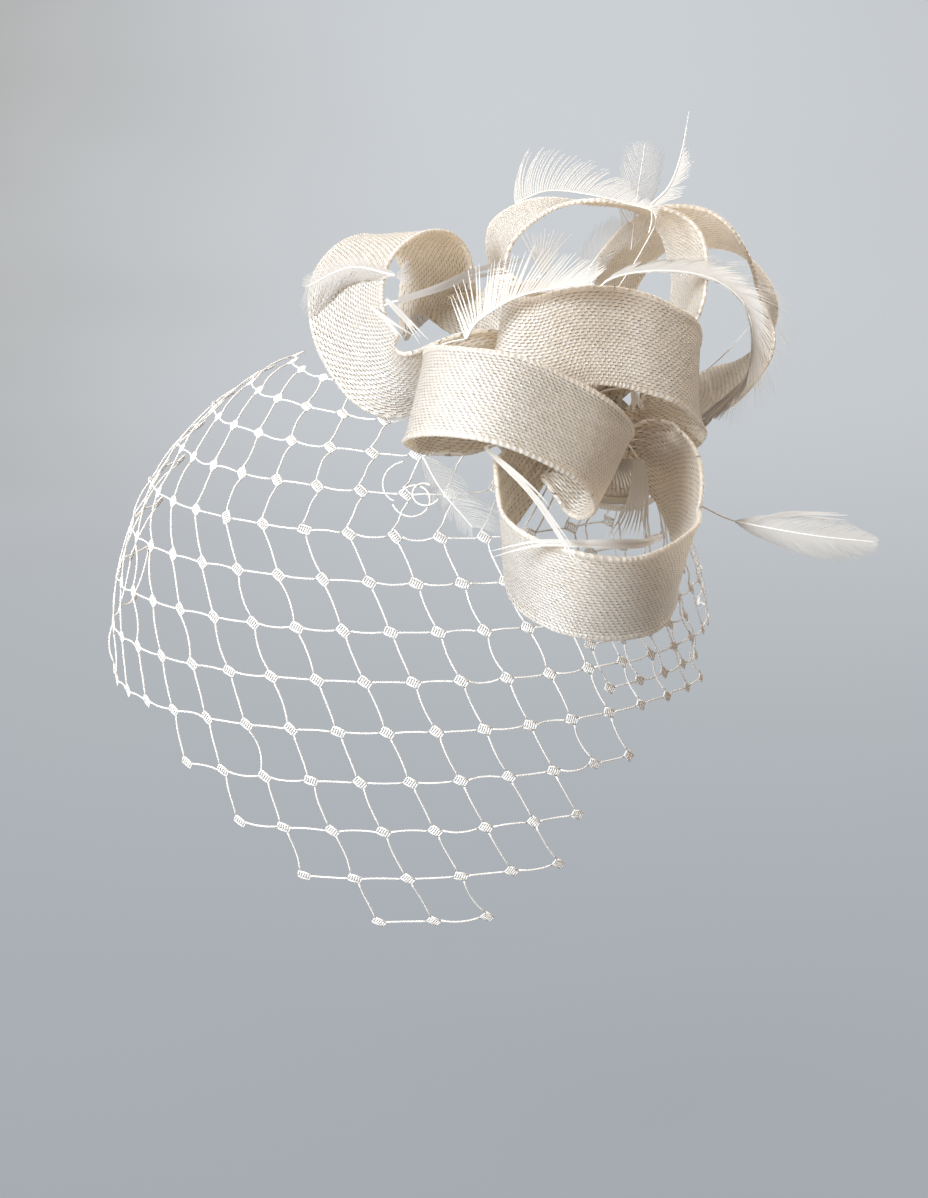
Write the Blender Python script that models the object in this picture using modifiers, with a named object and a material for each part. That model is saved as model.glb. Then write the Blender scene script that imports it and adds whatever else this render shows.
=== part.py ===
"""A fascinator headpiece: looped sinamay bands, feathers and a birdcage veil on a small comb-held base.

Metres, +Z up as worn, with the wearer facing -Y. The origin is the middle of the comb's flat underside,
which lies on the hair. Places below are in millimetres.
"""

import math

import bmesh
import bpy
from mathutils import Vector

MM = 0.001

# Base, turned about its own axis. The axis leaves the head up, to the right and forward.
BASE_NORMAL = Vector((0.50, -0.405, 0.765)).normalized()
BASE_RADIUS = 35.0
DOME_RADIUS = 160.0
BASE_TOP = 8.5
BASE_THICKNESS = 2.0
LINING_THICKNESS = 0.6
GAP = 0.3
BINDING_RADIUS = 1.2
BINDING_SIDES = 6
DOME_SIDES = 32
DOME_RINGS = 3

# Hair comb, flat side down.
COMB_SPINE = (44.0, 5.0, 1.8)
COMB_LOBE = (54.0, 3.6, 0.8)
COMB_TOOTH = (1.2, 24.0, 1.0)
COMB_TEETH = 15
COMB_PITCH = 2.9
COMB_TOOTH_ROOT = 1.0
THREAD_RADIUS = 0.3
LASHING_TURNS = 4
LASHING_SIDES = 8
LASHING_START = 0.9
LASHING_LENGTH = 3.2
LASHING_SLACK = 1.25

# Sinamay bands.
BAND_WIDTH = 32.0
BAND_THICKNESS = 0.9
BAND_END_WIDTH = 9.0
BAND_STEPS = 3
BAND_OPENING = 3.0

# Feathers and the collar that holds their stems.
FEATHER_THICKNESS = 0.5
QUILL_WIDTH = 0.9
FEATHER_STEPS = 3
COLLAR = (6.0, 5.2, 7.0)
COLLAR_ABOVE = 0.5
COLLAR_SIDES = 24

# Head, which the veil stands off from: close to it by the base, and further off with each millimetre away.
HEAD_RADIUS = 92.0
HEAD_DROP = 117.0
HEAD_CENTRE = -HEAD_RADIUS * BASE_NORMAL
VEIL_STAND_OFF = 3.0
VEIL_FLARE_FROM = 60.0
VEIL_FLARE = 0.17
VEIL_MOST_OFF = 29.0
VEIL_RISE_AT_BASE = 6.0
VEIL_RISE_OVER = 22.0

# Veil of square-mesh net, folded to a point at the chin.
NET_PITCH = 16.5
NET_BAR = 1.2
NET_FIRST_ROW = math.radians(27.5)
NET_ROW_STEP = math.radians(9.1)
NET_ROWS = 13
NET_LEAN_ROW = 4.0
NET_LEAN_BACK = 3.6
NET_LEAN_FORWARD = 7.8
NET_START = -45.0
NET_ROUND = 104.0
NET_ROUND_MORE = 4.0
NET_ROUND_LEAST = 30.0
NET_COLUMNS = range(-14, 20)
NET_CLEAR_OF_BASE = 41.0
NET_BASE_DEPTH = -20.0
NET_CROWN_ENDS = 44.0
EDGE_SLACK = 9.0

# The veil's lower edge: its height at each angle round the head, counted from straight ahead.
VEIL_EDGE = ((-118, -72), (-95, -80), (-57, -95), (-27, -140), (2, -163), (30, -138), (52, -84), (104, -75))
HEADING_RADIUS = 1.0
HEADING_REACH = 39.6
HEADING_HEIGHT = 3.4
HEADING_ANGLES = (150.0, 320.0)
HEADING_STEPS = 24

# The veil's fold line, about which its face part lifts.
LIFT_START = Vector((-135.0, 25.0, -2.0))
LIFT_END = Vector((20.0, -39.0, -109.0))
LIFT_CLEARANCE = 2.0

# Each station of a band is its centre and the direction across the band.
LOOPS = {
    "loop_left": (
        ((-18, -16, 17), (-0.4, 0.7, 0.6)),
        ((-20, -21, 22), (-0.2, 0.4, 0.9)),
        ((-29, -32, 28), (0.3, -0.4, 0.9)),
        ((-54, -30, 20), (0.7, -0.5, 0.4)),
        ((-68, -22, 32), (0.8, -0.6, 0.2)),
        ((-72, -15, 46), (0.8, -0.6, 0.1)),
        ((-69, -8, 58), (0.8, -0.6, 0.1)),
        ((-59, 10, 65), (0.8, -0.6, 0.1)),
        ((-48, 28, 63), (0.8, -0.6, 0.1)),
        ((-42, 34, 52), (0.8, -0.6, 0.1)),
        ((-42, 30, 37), (0.8, -0.6, 0.1)),
        ((-23, 6, 43), (0.7, -0.5, 0.4)),
        ((-13, -7, 30), (0.9, 0.3, 0.1)),
        ((-17, -6, 21), (0.7, 0.7, -0.1)),
    ),
    "loop_front": (
        ((-6, -15, 8), (-0.6, 0.5, 0.6)),
        ((-4, -20, 15), (-0.4, 0.6, 0.7)),
        ((-31, -47, 12), (0.2, 0.6, 0.8)),
        ((-43, -50, 14), (0.2, 0.6, 0.8)),
        ((-48, -63, 20), (0.2, 0.6, 0.8)),
        ((-43, -79, 24), (0.2, 0.6, 0.8)),
        ((-31, -89, 25), (0.2, 0.6, 0.8)),
        ((-18, -92, 23), (0.2, 0.6, 0.8)),
        ((-5, -89, 17), (0.2, 0.6, 0.8)),
        ((8, -82, 9), (0.3, 0.6, 0.8)),
        ((15, -68, -2), (0.4, 0.6, 0.7)),
        ((11, -53, -8), (0.4, 0.6, 0.7)),
        ((4, -48, -1), (0.3, 0.6, 0.8)),
        ((10, -25, 5), (-0.5, 0.3, 0.8)),
        ((6, -18, -2), (-0.8, 0.1, 0.6)),
    ),
    "loop_upper": (
        ((17, -4, 0), (0.0, 0.9, 0.5)),
        ((24, -7, 5), (0.0, 0.8, 0.6)),
        ((29, -6, 3), (0.1, 0.5, 0.9)),
        ((41, -10, 8), (0.0, 0.5, 0.9)),
        ((46, -17, 17), (0.0, 0.4, 0.9)),
        ((41, -33, 27), (0.1, 0.4, 0.9)),
        ((30, -41, 33), (0.0, 0.3, 1.0)),
        ((18, -45, 37), (0.1, 0.3, 1.0)),
        ((4, -51, 38), (0.2, 0.2, 1.0)),
        ((-8, -54, 35), (0.2, 0.1, 1.0)),
        ((-19, -52, 35), (0.2, 0.0, 1.0)),
        ((-22, -45, 37), (0.2, -0.1, 1.0)),
        ((-14, -35, 39), (0.2, -0.1, 1.0)),
        ((-3, -17, 35), (0.2, 0.0, 1.0)),
        ((4, 2, 23), (-0.3, 0.4, 0.8)),
        ((2, 8, 16), (-0.5, 0.6, 0.6)),
    ),
    "loop_lower": (
        ((-6, -31, -1), (-0.8, 0.1, 0.6)),
        ((-9, -38, -2), (-0.6, 0.0, 0.8)),
        ((-20, -54, -13), (-0.2, -0.2, 1.0)),
        ((-21, -67, -17), (-0.1, -0.2, 1.0)),
        ((-19, -82, -28), (-0.1, -0.3, 0.9)),
        ((-10, -95, -33), (0.0, -0.4, 0.9)),
        ((3, -102, -36), (0.1, -0.4, 0.9)),
        ((17, -98, -38), (0.1, -0.4, 0.9)),
        ((30, -86, -37), (0.1, -0.3, 0.9)),
        ((38, -67, -34), (0.2, -0.3, 0.9)),
        ((40, -47, -31), (0.2, -0.3, 0.9)),
        ((40, -33, -16), (0.2, -0.2, 1.0)),
        ((33, -18, -6), (0.1, -0.1, 1.0)),
        ((24, -19, -2), (0.2, 0.7, 0.7)),
        ((17, -15, -7), (0.1, 0.9, 0.4)),
    ),
    "loop_back": (
        ((-1, 15, 21), (0.8, 0.6, -0.2)),
        ((2, 14, 29), (0.5, 0.8, -0.1)),
        ((-6, 25, 32), (-0.1, 1.0, 0.1)),
        ((-18, 43, 43), (-0.2, 1.0, 0.1)),
        ((-21, 41, 61), (-0.2, 1.0, 0.2)),
        ((-8, 44, 72), (-0.1, 1.0, 0.1)),
        ((11, 44, 74), (0.0, 1.0, -0.1)),
        ((31, 44, 71), (-0.1, 1.0, -0.1)),
        ((44, 40, 60), (-0.3, 0.9, -0.3)),
        ((46, 36, 44), (-0.3, 0.9, -0.2)),
        ((39, 36, 25), (-0.3, 0.9, -0.1)),
        ((22, 15, 16), (-0.7, 0.6, 0.4)),
        ((17, 16, 9), (-0.7, 0.3, 0.6)),
    ),
    "loop_back_right": (
        ((9, 23, 18), (0.8, 0.0, -0.5)),
        ((14, 23, 26), (0.8, 0.4, -0.5)),
        ((15, 57, 28), (0.3, 0.9, -0.1)),
        ((23, 73, 47), (0.5, 0.8, -0.4)),
        ((37, 78, 61), (0.3, 0.8, -0.5)),
        ((53, 79, 62), (0.1, 0.8, -0.5)),
        ((68, 77, 55), (0.2, 0.9, -0.3)),
        ((77, 72, 40), (0.3, 0.9, -0.2)),
        ((75, 65, 25), (0.2, 1.0, 0.0)),
        ((65, 54, 14), (-0.1, 1.0, 0.2)),
        ((51, 44, 5), (-0.1, 1.0, 0.3)),
        ((36, 38, 4), (0.1, 1.0, 0.2)),
        ((34, 1, 2), (-0.7, 0.5, 0.6)),
        ((29, 2, -6), (-0.8, 0.0, 0.6)),
    ),
}

# Each feather is its stem's places, the direction across its vane, the vane's width, and the share of the
# stem that is bare.
FEATHERS = {
    "feather_sweep": (
        ((7, -3, 7), (11, -7, 14), (11, 6, 37), (15, 10, 49), (32, 11, 53), (50, 11, 51),
         (62, 11, 43), (66, 10, 30), (63, 8, 16), (49, 2, 2)),
        (0.3, 0.4, 0.9), 9.0, 0.35,
    ),
    "feather_crest": (
        ((4, -3, 9), (8, -7, 16), (14, 14, 36), (28, 18, 59), (33, 21, 71), (22, 24, 75), (9, 25, 78),
         (-4, 25, 79), (-15, 24, 75)),
        (0.0, 0.3, 1.0), 10.0, 0.5,
    ),
    "feather_upright": (
        ((31, 16, 75), (37, 17, 81), (41, 19, 91), (44, 23, 106)),
        (1.0, 0.0, 0.2), 7.0, 0.25,
    ),
    "feather_back_leaf": (
        ((27, 59, 56), (29, 64, 73), (32, 68, 93)),
        (1.0, 0.0, 0.1), 15.0, 0.1,
    ),
    "feather_inner_leaf": (
        ((6, 47, 39), (13, 52, 52), (24, 56, 65)),
        (0.7, -0.1, -0.7), 13.0, 0.1,
    ),
    "feather_left_leaf": (
        ((-55, -27, 55), (-70, -20, 57), (-85, -14, 50)),
        (0.0, 0.3, 1.0), 13.0, 0.08,
    ),
    "feather_curled_quill": (
        ((-54, -29, 47), (-40, -24, 51), (-27, -13, 55), (-10, 0, 57)),
        (0.0, 0.2, 1.0), 2.0, 0.0,
    ),
    "feather_back_fan": (
        ((-5, 5, 53), (-6, 7, 60), (-5, 8, 68)),
        (1.0, 0.0, 0.0), 11.0, 0.1,
    ),
    "feather_left_spike_long": (
        ((-58, -33, 48), (-51, -34, 41), (-45, -36, 34)),
        (0.7, 0.1, 0.7), 2.0, 0.0,
    ),
    "feather_left_spike_short": (
        ((-63, -29, 45), (-56, -34, 40), (-50, -36, 35)),
        (0.7, 0.1, 0.7), 2.0, 0.0,
    ),
    "feather_front_fan": (
        ((-32, -59, 38), (-28, -60, 44), (-17, -61, 51), (-5, -60, 54), (7, -60, 56)),
        (0.0, 0.2, 1.0), 9.0, 0.1,
    ),
    "feather_thin_quill": (
        ((52, 32, 16), (60, 34, 23), (68, 35, 31)),
        (0.7, 0.1, 0.7), 1.6, 0.0,
    ),
    "feather_face_leaf": (
        ((-46, -44, -2), (-40, -55, -11), (-30, -62, -22)),
        (0.8, -0.1, 0.6), 14.0, 0.05,
    ),
    "feather_split_biot": (
        ((-26, -76, 6), (-12, -98, -5), (0, -123, -20), (5, -124, -28)),
        (0.8, 0.1, 0.6), 4.0, 0.0,
    ),
    "feather_level_biot": (
        ((30, -78, -22), (22, -96, -21), (12, -108, -19), (1, -113, -18), (-16, -112, -18),
         (-32, -107, -23)),
        (0.0, 0.2, 1.0), 3.0, 0.0,
    ),
    "feather_hanging_strand": (
        ((25, -32, -5), (25, -38, -13), (23, -46, -22), (20, -51, -30)),
        (1.0, 0.0, 0.0), 3.0, 0.0,
    ),
    "feather_inner_strand": (
        ((23, -27, 18), (24, -28, 14), (24, -29, 10)),
        (1.0, 0.0, 0.0), 2.4, 0.0,
    ),
    "feather_flag": (
        ((34, -10, -18), (45, -18, -22), (54, -29, -25), (62, -36, -26), (82, -45, -28), (101, -51, -29)),
        (0.1, 0.4, 0.9), 13.0, 0.42,
    ),
}


def smooth_path(points, steps):
    """Places on a Catmull-Rom curve through the points, with this many steps between two of them."""
    ends = [2 * points[0] - points[1], *points, 2 * points[-1] - points[-2]]
    path = []
    for a, b, c, d in zip(ends, ends[1:], ends[2:], ends[3:]):
        for step in range(steps):
            t = step / steps
            path.append(
                0.5 * (2 * b + (c - a) * t + (2 * a - 5 * b + 4 * c - d) * t**2
                       + (3 * b - a - 3 * c + d) * t**3)
            )
    path.append(points[-1].copy())
    return path


def material(name, colour, roughness, metallic=0.0):
    made = bpy.data.materials.new(name)
    made.use_nodes = True
    shader = made.node_tree.nodes["Principled BSDF"]
    shader.inputs["Base Color"].default_value = (*colour, 1.0)
    shader.inputs["Roughness"].default_value = roughness
    shader.inputs["Metallic"].default_value = metallic
    made.diffuse_color = (*colour, 1.0)
    return made


def add(name, mesh, finish, parent=None):
    made = bpy.data.objects.new(name, mesh)
    made.data.materials.append(finish)
    PARTS.objects.link(made)
    made.parent = parent
    return made


def mesh_from(name, vertices, faces, smooth=True):
    mesh = bpy.data.meshes.new(name)
    mesh.from_pydata(vertices, [], faces)
    mesh.update()
    if smooth:
        mesh.shade_smooth()
    return mesh


def strip(name, centres, acrosses, widths, thickness, finish, parent=None):
    """A thin band: pairs of rim points joined by quads, thickened evenly to both sides."""
    vertices = []
    for centre, across, width in zip(centres, acrosses, widths):
        half = across.normalized() * width / 2
        vertices += [(centre - half) * MM, (centre + half) * MM]
    faces = [(2 * i, 2 * i + 1, 2 * i + 3, 2 * i + 2) for i in range(len(centres) - 1)]
    made = add(name, mesh_from(name, vertices, faces), finish, parent)
    shell = made.modifiers.new("thickness", "SOLIDIFY")
    shell.thickness = thickness * MM
    shell.offset = 0.0
    return made


def across_path(acrosses, path, steps):
    """Directions across the band, smoothed as the path is and kept square to it."""
    turned = [acrosses[0].normalized()]
    for across in acrosses[1:]:
        turned.append(across.normalized())
    smooth = smooth_path(turned, steps)
    square = []
    for i, across in enumerate(smooth):
        along = path[min(i + 1, len(path) - 1)] - path[max(i - 1, 0)]
        along.normalize()
        square.append((across - along * across.dot(along)).normalized())
    return square


def loop_band(name, stations, finish):
    """One looped band. Both of its ends are gathered narrow where they are sewn to the base."""
    centres = smooth_path([Vector(centre) for centre, _ in stations], BAND_STEPS)
    acrosses = across_path([Vector(across) for _, across in stations], centres, BAND_STEPS)
    widths = []
    for i in range(len(centres)):
        from_end = min(i, len(centres) - 1 - i) / BAND_STEPS
        open_share = min(1.0, from_end / BAND_OPENING)
        open_share = open_share * open_share * (3 - 2 * open_share)
        widths.append(BAND_END_WIDTH + (BAND_WIDTH - BAND_END_WIDTH) * open_share)
    return strip(name, centres, acrosses, widths, BAND_THICKNESS, finish)


def feather(name, places, across, width, bare, finish):
    """One feather as a thin flat blade: a bare stem, then a vane that swells and comes to a point."""
    centres = smooth_path([Vector(place) for place in places], FEATHER_STEPS)
    acrosses = across_path([Vector(across)] * len(places), centres, FEATHER_STEPS)
    widths = []
    for i in range(len(centres)):
        share = (i / (len(centres) - 1) - bare) / (1 - bare)
        swell = math.sin(math.pi * min(max(share, 0.0), 1.0) ** 0.7)
        widths.append(QUILL_WIDTH + (width - QUILL_WIDTH) * max(swell, 0.0))
    return strip(name, centres, acrosses, widths, FEATHER_THICKNESS, finish)


def base_frame():
    """An empty whose Z axis is the base's own, so that turned parts stand on it upright."""
    frame = bpy.data.objects.new("base_frame", None)
    frame.matrix_world = BASE_NORMAL.to_track_quat("Z", "Y").to_matrix().to_4x4()
    PARTS.objects.link(frame)
    return frame


def dome(name, radius, top, thickness, finish, frame):
    """A shallow dome of even thickness, its profile turned about Z."""
    profile = []
    for i in range(DOME_RINGS + 1):
        r = radius * i / DOME_RINGS
        profile.append((r, top - r * r / (2 * DOME_RADIUS)))
    for i in range(DOME_RINGS, -1, -1):
        r = radius * i / DOME_RINGS
        profile.append((r, top - thickness - r * r / (2 * DOME_RADIUS)))
    return turned(name, profile, DOME_SIDES, finish, frame)


def turned(name, profile, steps, finish, frame):
    """A profile of (radius, height) pairs, listed down its outer side, turned a full circle by a Screw.

    A profile that starts on the axis is left open there, and any other is joined end to end.
    """
    vertices = [(r * MM, 0.0, z * MM) for r, z in profile]
    edges = [(k, k + 1) for k in range(len(profile) - 1)]
    if profile[0][0] > 0:
        edges.append((len(profile) - 1, 0))
    mesh = bpy.data.meshes.new(name)
    mesh.from_pydata(vertices, edges, [])
    made = add(name, mesh, finish, frame)
    screw = made.modifiers.new("turn", "SCREW")
    screw.steps = steps
    screw.render_steps = steps
    screw.use_merge_vertices = True
    screw.merge_threshold = 1e-6
    screw.use_smooth_shade = True
    return made


def binding(finish, frame):
    """The folded bias strip round the base's edge, a ring with a round section."""
    rim_middle = BASE_TOP - BASE_RADIUS**2 / (2 * DOME_RADIUS) - BASE_THICKNESS / 2
    profile = []
    for k in range(BINDING_SIDES):
        angle = -2 * math.pi * k / BINDING_SIDES
        profile.append((
            BASE_RADIUS + GAP + BINDING_RADIUS * (1 + math.cos(angle)),
            rim_middle + BINDING_RADIUS * math.sin(angle),
        ))
    return turned("base_binding", profile, DOME_SIDES, finish, frame)


def box_mesh(name, size, centre):
    mesh = bmesh.new()
    bmesh.ops.create_cube(mesh, size=1.0)
    bmesh.ops.scale(mesh, vec=Vector(size) * MM, verts=mesh.verts)
    bmesh.ops.translate(mesh, vec=Vector(centre) * MM, verts=mesh.verts)
    made = bpy.data.meshes.new(name)
    mesh.to_mesh(made)
    mesh.free()
    return made


def join_to(target, mesh, frame):
    """Unites a mesh with the target, and keeps its object out of the build."""
    helper = bpy.data.objects.new(mesh.name, mesh)
    CUTTERS.objects.link(helper)
    helper.parent = frame
    helper.hide_render = True
    helper.display_type = "WIRE"
    union = target.modifiers.new(mesh.name, "BOOLEAN")
    union.operation = "UNION"
    union.object = helper


def hair_comb(finish, frame):
    """A flat comb: its spine's underside is at the frame's origin, and its teeth point down the head."""
    length, depth, height = COMB_SPINE
    comb = add("hair_comb", box_mesh("comb_spine", COMB_SPINE, (0, 0, height / 2)), finish, frame)
    join_to(comb, box_mesh("comb_lobes", COMB_LOBE, (0, 0, height / 2)), frame)
    tooth_length = COMB_TOOTH[1]
    for k in range(COMB_TEETH):
        x = COMB_PITCH * (k - (COMB_TEETH - 1) / 2)
        middle = (x, COMB_TOOTH_ROOT - (depth + tooth_length) / 2, height / 2)
        join_to(comb, box_mesh(f"comb_tooth_{k:02d}", COMB_TOOTH, middle), frame)
    return comb


def wire(name, places, radius, finish, frame=None):
    """A thread or cord: a round tube along the places, with closed ends."""
    curve = bpy.data.curves.new(name, "CURVE")
    curve.dimensions = "3D"
    curve.bevel_depth = radius * MM
    curve.bevel_resolution = 1
    curve.use_fill_caps = True
    spline = curve.splines.new("POLY")
    spline.points.add(len(places) - 1)
    for target, place in zip(spline.points, places):
        target.co = (*(Vector(place) * MM), 1.0)
    made = bpy.data.objects.new(name, curve)
    curve.materials.append(finish)
    PARTS.objects.link(made)
    made.parent = frame
    return made


def lashing(name, side, finish, frame):
    """Thread wound round one end lobe of the comb."""
    length, _, height = COMB_SPINE
    _, lobe_depth, lobe_height = COMB_LOBE
    steps = LASHING_TURNS * LASHING_SIDES
    reach = THREAD_RADIUS + GAP
    places = []
    for k in range(steps + 1):
        angle = 2 * math.pi * (k + 0.5) / LASHING_SIDES
        x = side * (length / 2 + LASHING_START + LASHING_LENGTH * k / steps)
        y = (lobe_depth / 2 + reach) * LASHING_SLACK * math.cos(angle)
        z = height / 2 + (lobe_height / 2 + reach) * LASHING_SLACK * math.sin(angle)
        places.append((x, y, z))
    return wire(name, places, THREAD_RADIUS, finish, frame)


def collar(finish, frame):
    """A short tube on the base, round the feathers' stems."""
    outer, inner, height = COLLAR
    bottom = BASE_TOP + COLLAR_ABOVE
    profile = [(inner, bottom), (inner, bottom + height), (outer, bottom + height), (outer, bottom)]
    return turned("feather_collar", profile, COLLAR_SIDES, finish, frame)


def head_reach(direction):
    """How far the head's surface is from its centre, that way."""
    drop = HEAD_RADIUS if direction.z > 0 else HEAD_DROP
    across = direction.x**2 + direction.y**2
    return 1 / math.sqrt(across / HEAD_RADIUS**2 + direction.z**2 / drop**2)


def veil_place(direction):
    """A place on the veil: near the head by the base, and further off the further it is from it."""
    direction = direction.normalized()
    surface = HEAD_CENTRE + direction * head_reach(direction)
    away = surface.length
    lift = VEIL_STAND_OFF + VEIL_FLARE * max(0.0, away - VEIL_FLARE_FROM)
    lift += VEIL_RISE_AT_BASE * max(0.0, (VEIL_FLARE_FROM - away) / VEIL_RISE_OVER)
    return HEAD_CENTRE + direction * (head_reach(direction) + min(lift, VEIL_MOST_OFF))


def net_place(column, row):
    """A knot of the net. Columns lean back down to the fourth row, and forward below it."""
    polar = NET_FIRST_ROW + NET_ROW_STEP * row
    lean = NET_LEAN_FORWARD * max(row - NET_LEAN_ROW, 0.0) - NET_LEAN_BACK * min(row, NET_LEAN_ROW)
    radius = max(NET_ROUND_LEAST, NET_ROUND * math.sin(polar) + NET_ROUND_MORE)
    turn = (NET_PITCH * column + NET_START + lean) / radius
    return veil_place(Vector((
        math.sin(polar) * math.sin(turn),
        -math.sin(polar) * math.cos(turn),
        math.cos(polar),
    )))


def in_veil(place, row):
    """Whether the net reaches this place: clear of the base, and above the veil's pointed lower edge."""
    from_head = place - HEAD_CENTRE
    turn = math.degrees(math.atan2(from_head.x, -from_head.y))
    along = place.dot(BASE_NORMAL)
    from_base = (place - BASE_NORMAL * along).length
    if from_base < NET_CLEAR_OF_BASE and along > NET_BASE_DEPTH:
        return False
    if row <= NET_LEAN_ROW and turn > NET_CROWN_ENDS:
        return False
    for (turn_a, low_a), (turn_b, low_b) in zip(VEIL_EDGE, VEIL_EDGE[1:]):
        if turn_a <= turn <= turn_b:
            share = (turn - turn_a) / (turn_b - turn_a)
            return place.z > low_a + (low_b - low_a) * share - EDGE_SLACK
    return False


def net(name, wanted, finish):
    """One part of the net: a grid of square cells, each edge made a bar."""
    mesh = bmesh.new()
    knots = {}

    def knot(column, row):
        key = (column, row)
        if key not in knots:
            knots[key] = mesh.verts.new(net_place(column, row) * MM)
        return knots[key]

    for row in range(NET_ROWS):
        for column in NET_COLUMNS:
            corners = [(column, row), (column + 1, row), (column + 1, row + 1), (column, row + 1)]
            places = [net_place(*corner) for corner in corners]
            if all(in_veil(place, corner[1]) and wanted(place) for place, corner in zip(places, corners)):
                mesh.faces.new([knot(*corner) for corner in corners])
    bmesh.ops.recalc_face_normals(mesh, faces=mesh.faces)
    made_mesh = bpy.data.meshes.new(name)
    mesh.to_mesh(made_mesh)
    mesh.free()
    made = add(name, made_mesh, finish)
    bars = made.modifiers.new("bars", "WIREFRAME")
    bars.thickness = NET_BAR * MM
    bars.use_boundary = True
    bars.use_even_offset = False
    bars.use_replace = True
    return made


def lift_side(place):
    """How far a place is from the fold line, and on which side: positive is the side that lifts."""
    along = (LIFT_END - LIFT_START).normalized()
    outward = ((LIFT_START + LIFT_END) / 2 - HEAD_CENTRE).normalized()
    down = along.cross(outward).normalized()
    if down.z > 0:
        down = -down
    return (place - LIFT_START).dot(down)


def heading(finish, frame):
    """The cord that gathers the veil's top edge, along the lower left of the base's rim."""
    first, last = HEADING_ANGLES
    places = []
    for k in range(HEADING_STEPS + 1):
        angle = math.radians(first + (last - first) * k / HEADING_STEPS)
        places.append((HEADING_REACH * math.cos(angle), HEADING_REACH * math.sin(angle), HEADING_HEIGHT))
    return wire("veil_heading", places, HEADING_RADIUS, finish, frame)


for old in list(bpy.data.objects):
    bpy.data.objects.remove(old, do_unlink=True)
PARTS = bpy.data.collections.new("fascinator_headpiece")
CUTTERS = bpy.data.collections.new("cutters")
bpy.context.scene.collection.children.link(PARTS)
bpy.context.scene.collection.children.link(CUTTERS)

SINAMAY = material("sinamay", (0.90, 0.86, 0.78), 0.5)
NET = material("net", (0.90, 0.88, 0.84), 0.7)
FEATHER = material("feather", (0.88, 0.84, 0.79), 0.7)
CLOTH = material("lining_cloth", (0.82, 0.78, 0.70), 0.8)
PLASTIC = material("comb_plastic", (0.80, 0.72, 0.60), 0.35)
THREAD = material("thread", (0.88, 0.85, 0.78), 0.7)

FRAME = base_frame()
dome("base_disc", BASE_RADIUS, BASE_TOP, BASE_THICKNESS, SINAMAY, FRAME)
dome("base_lining", BASE_RADIUS - 2.0, BASE_TOP - BASE_THICKNESS - GAP, LINING_THICKNESS, CLOTH, FRAME)
binding(CLOTH, FRAME)
hair_comb(PLASTIC, FRAME)
lashing("comb_lashing_left", -1, THREAD, FRAME)
lashing("comb_lashing_right", 1, THREAD, FRAME)
collar(THREAD, FRAME)
heading(THREAD, FRAME)
for loop_name, loop_stations in LOOPS.items():
    loop_band(loop_name, loop_stations, SINAMAY)
for feather_name, (stem, vane_across, vane_width, bare_share) in FEATHERS.items():
    feather(feather_name, stem, vane_across, vane_width, bare_share, FEATHER)
net("veil_crown", lambda place: lift_side(place) < -LIFT_CLEARANCE, NET)
net("veil_front", lambda place: lift_side(place) > LIFT_CLEARANCE, NET)
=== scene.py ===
"""Looks for the fascinator headpiece: woven sinamay loops, feathers of single barbs and a knotted net veil.

Lengths are in millimetres until a mesh is made. The places of the loops, the feathers and the net repeat the
CAD part's.
"""

import math

import bmesh
import bpy
import numpy as np
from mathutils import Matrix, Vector


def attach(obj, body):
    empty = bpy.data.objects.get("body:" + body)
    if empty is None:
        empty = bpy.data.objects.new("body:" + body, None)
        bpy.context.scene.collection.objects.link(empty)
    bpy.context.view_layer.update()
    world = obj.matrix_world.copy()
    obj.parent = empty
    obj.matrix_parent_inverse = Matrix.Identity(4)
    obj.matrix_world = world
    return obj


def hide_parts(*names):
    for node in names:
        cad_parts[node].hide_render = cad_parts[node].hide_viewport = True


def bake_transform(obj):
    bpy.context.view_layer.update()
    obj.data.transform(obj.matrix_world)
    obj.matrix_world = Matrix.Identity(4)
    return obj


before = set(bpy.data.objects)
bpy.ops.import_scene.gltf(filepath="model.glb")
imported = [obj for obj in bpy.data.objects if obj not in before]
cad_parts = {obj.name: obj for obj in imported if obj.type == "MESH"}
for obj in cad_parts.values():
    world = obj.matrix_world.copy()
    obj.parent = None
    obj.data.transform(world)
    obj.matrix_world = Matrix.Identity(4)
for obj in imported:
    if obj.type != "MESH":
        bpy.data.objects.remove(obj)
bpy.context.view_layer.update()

MM = 0.001
BASE_NORMAL = Vector((0.50, -0.405, 0.765)).normalized()
BASE_TURN = BASE_NORMAL.to_track_quat("Z", "Y").to_matrix()
FLOOR_HEIGHT = -0.175

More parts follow.
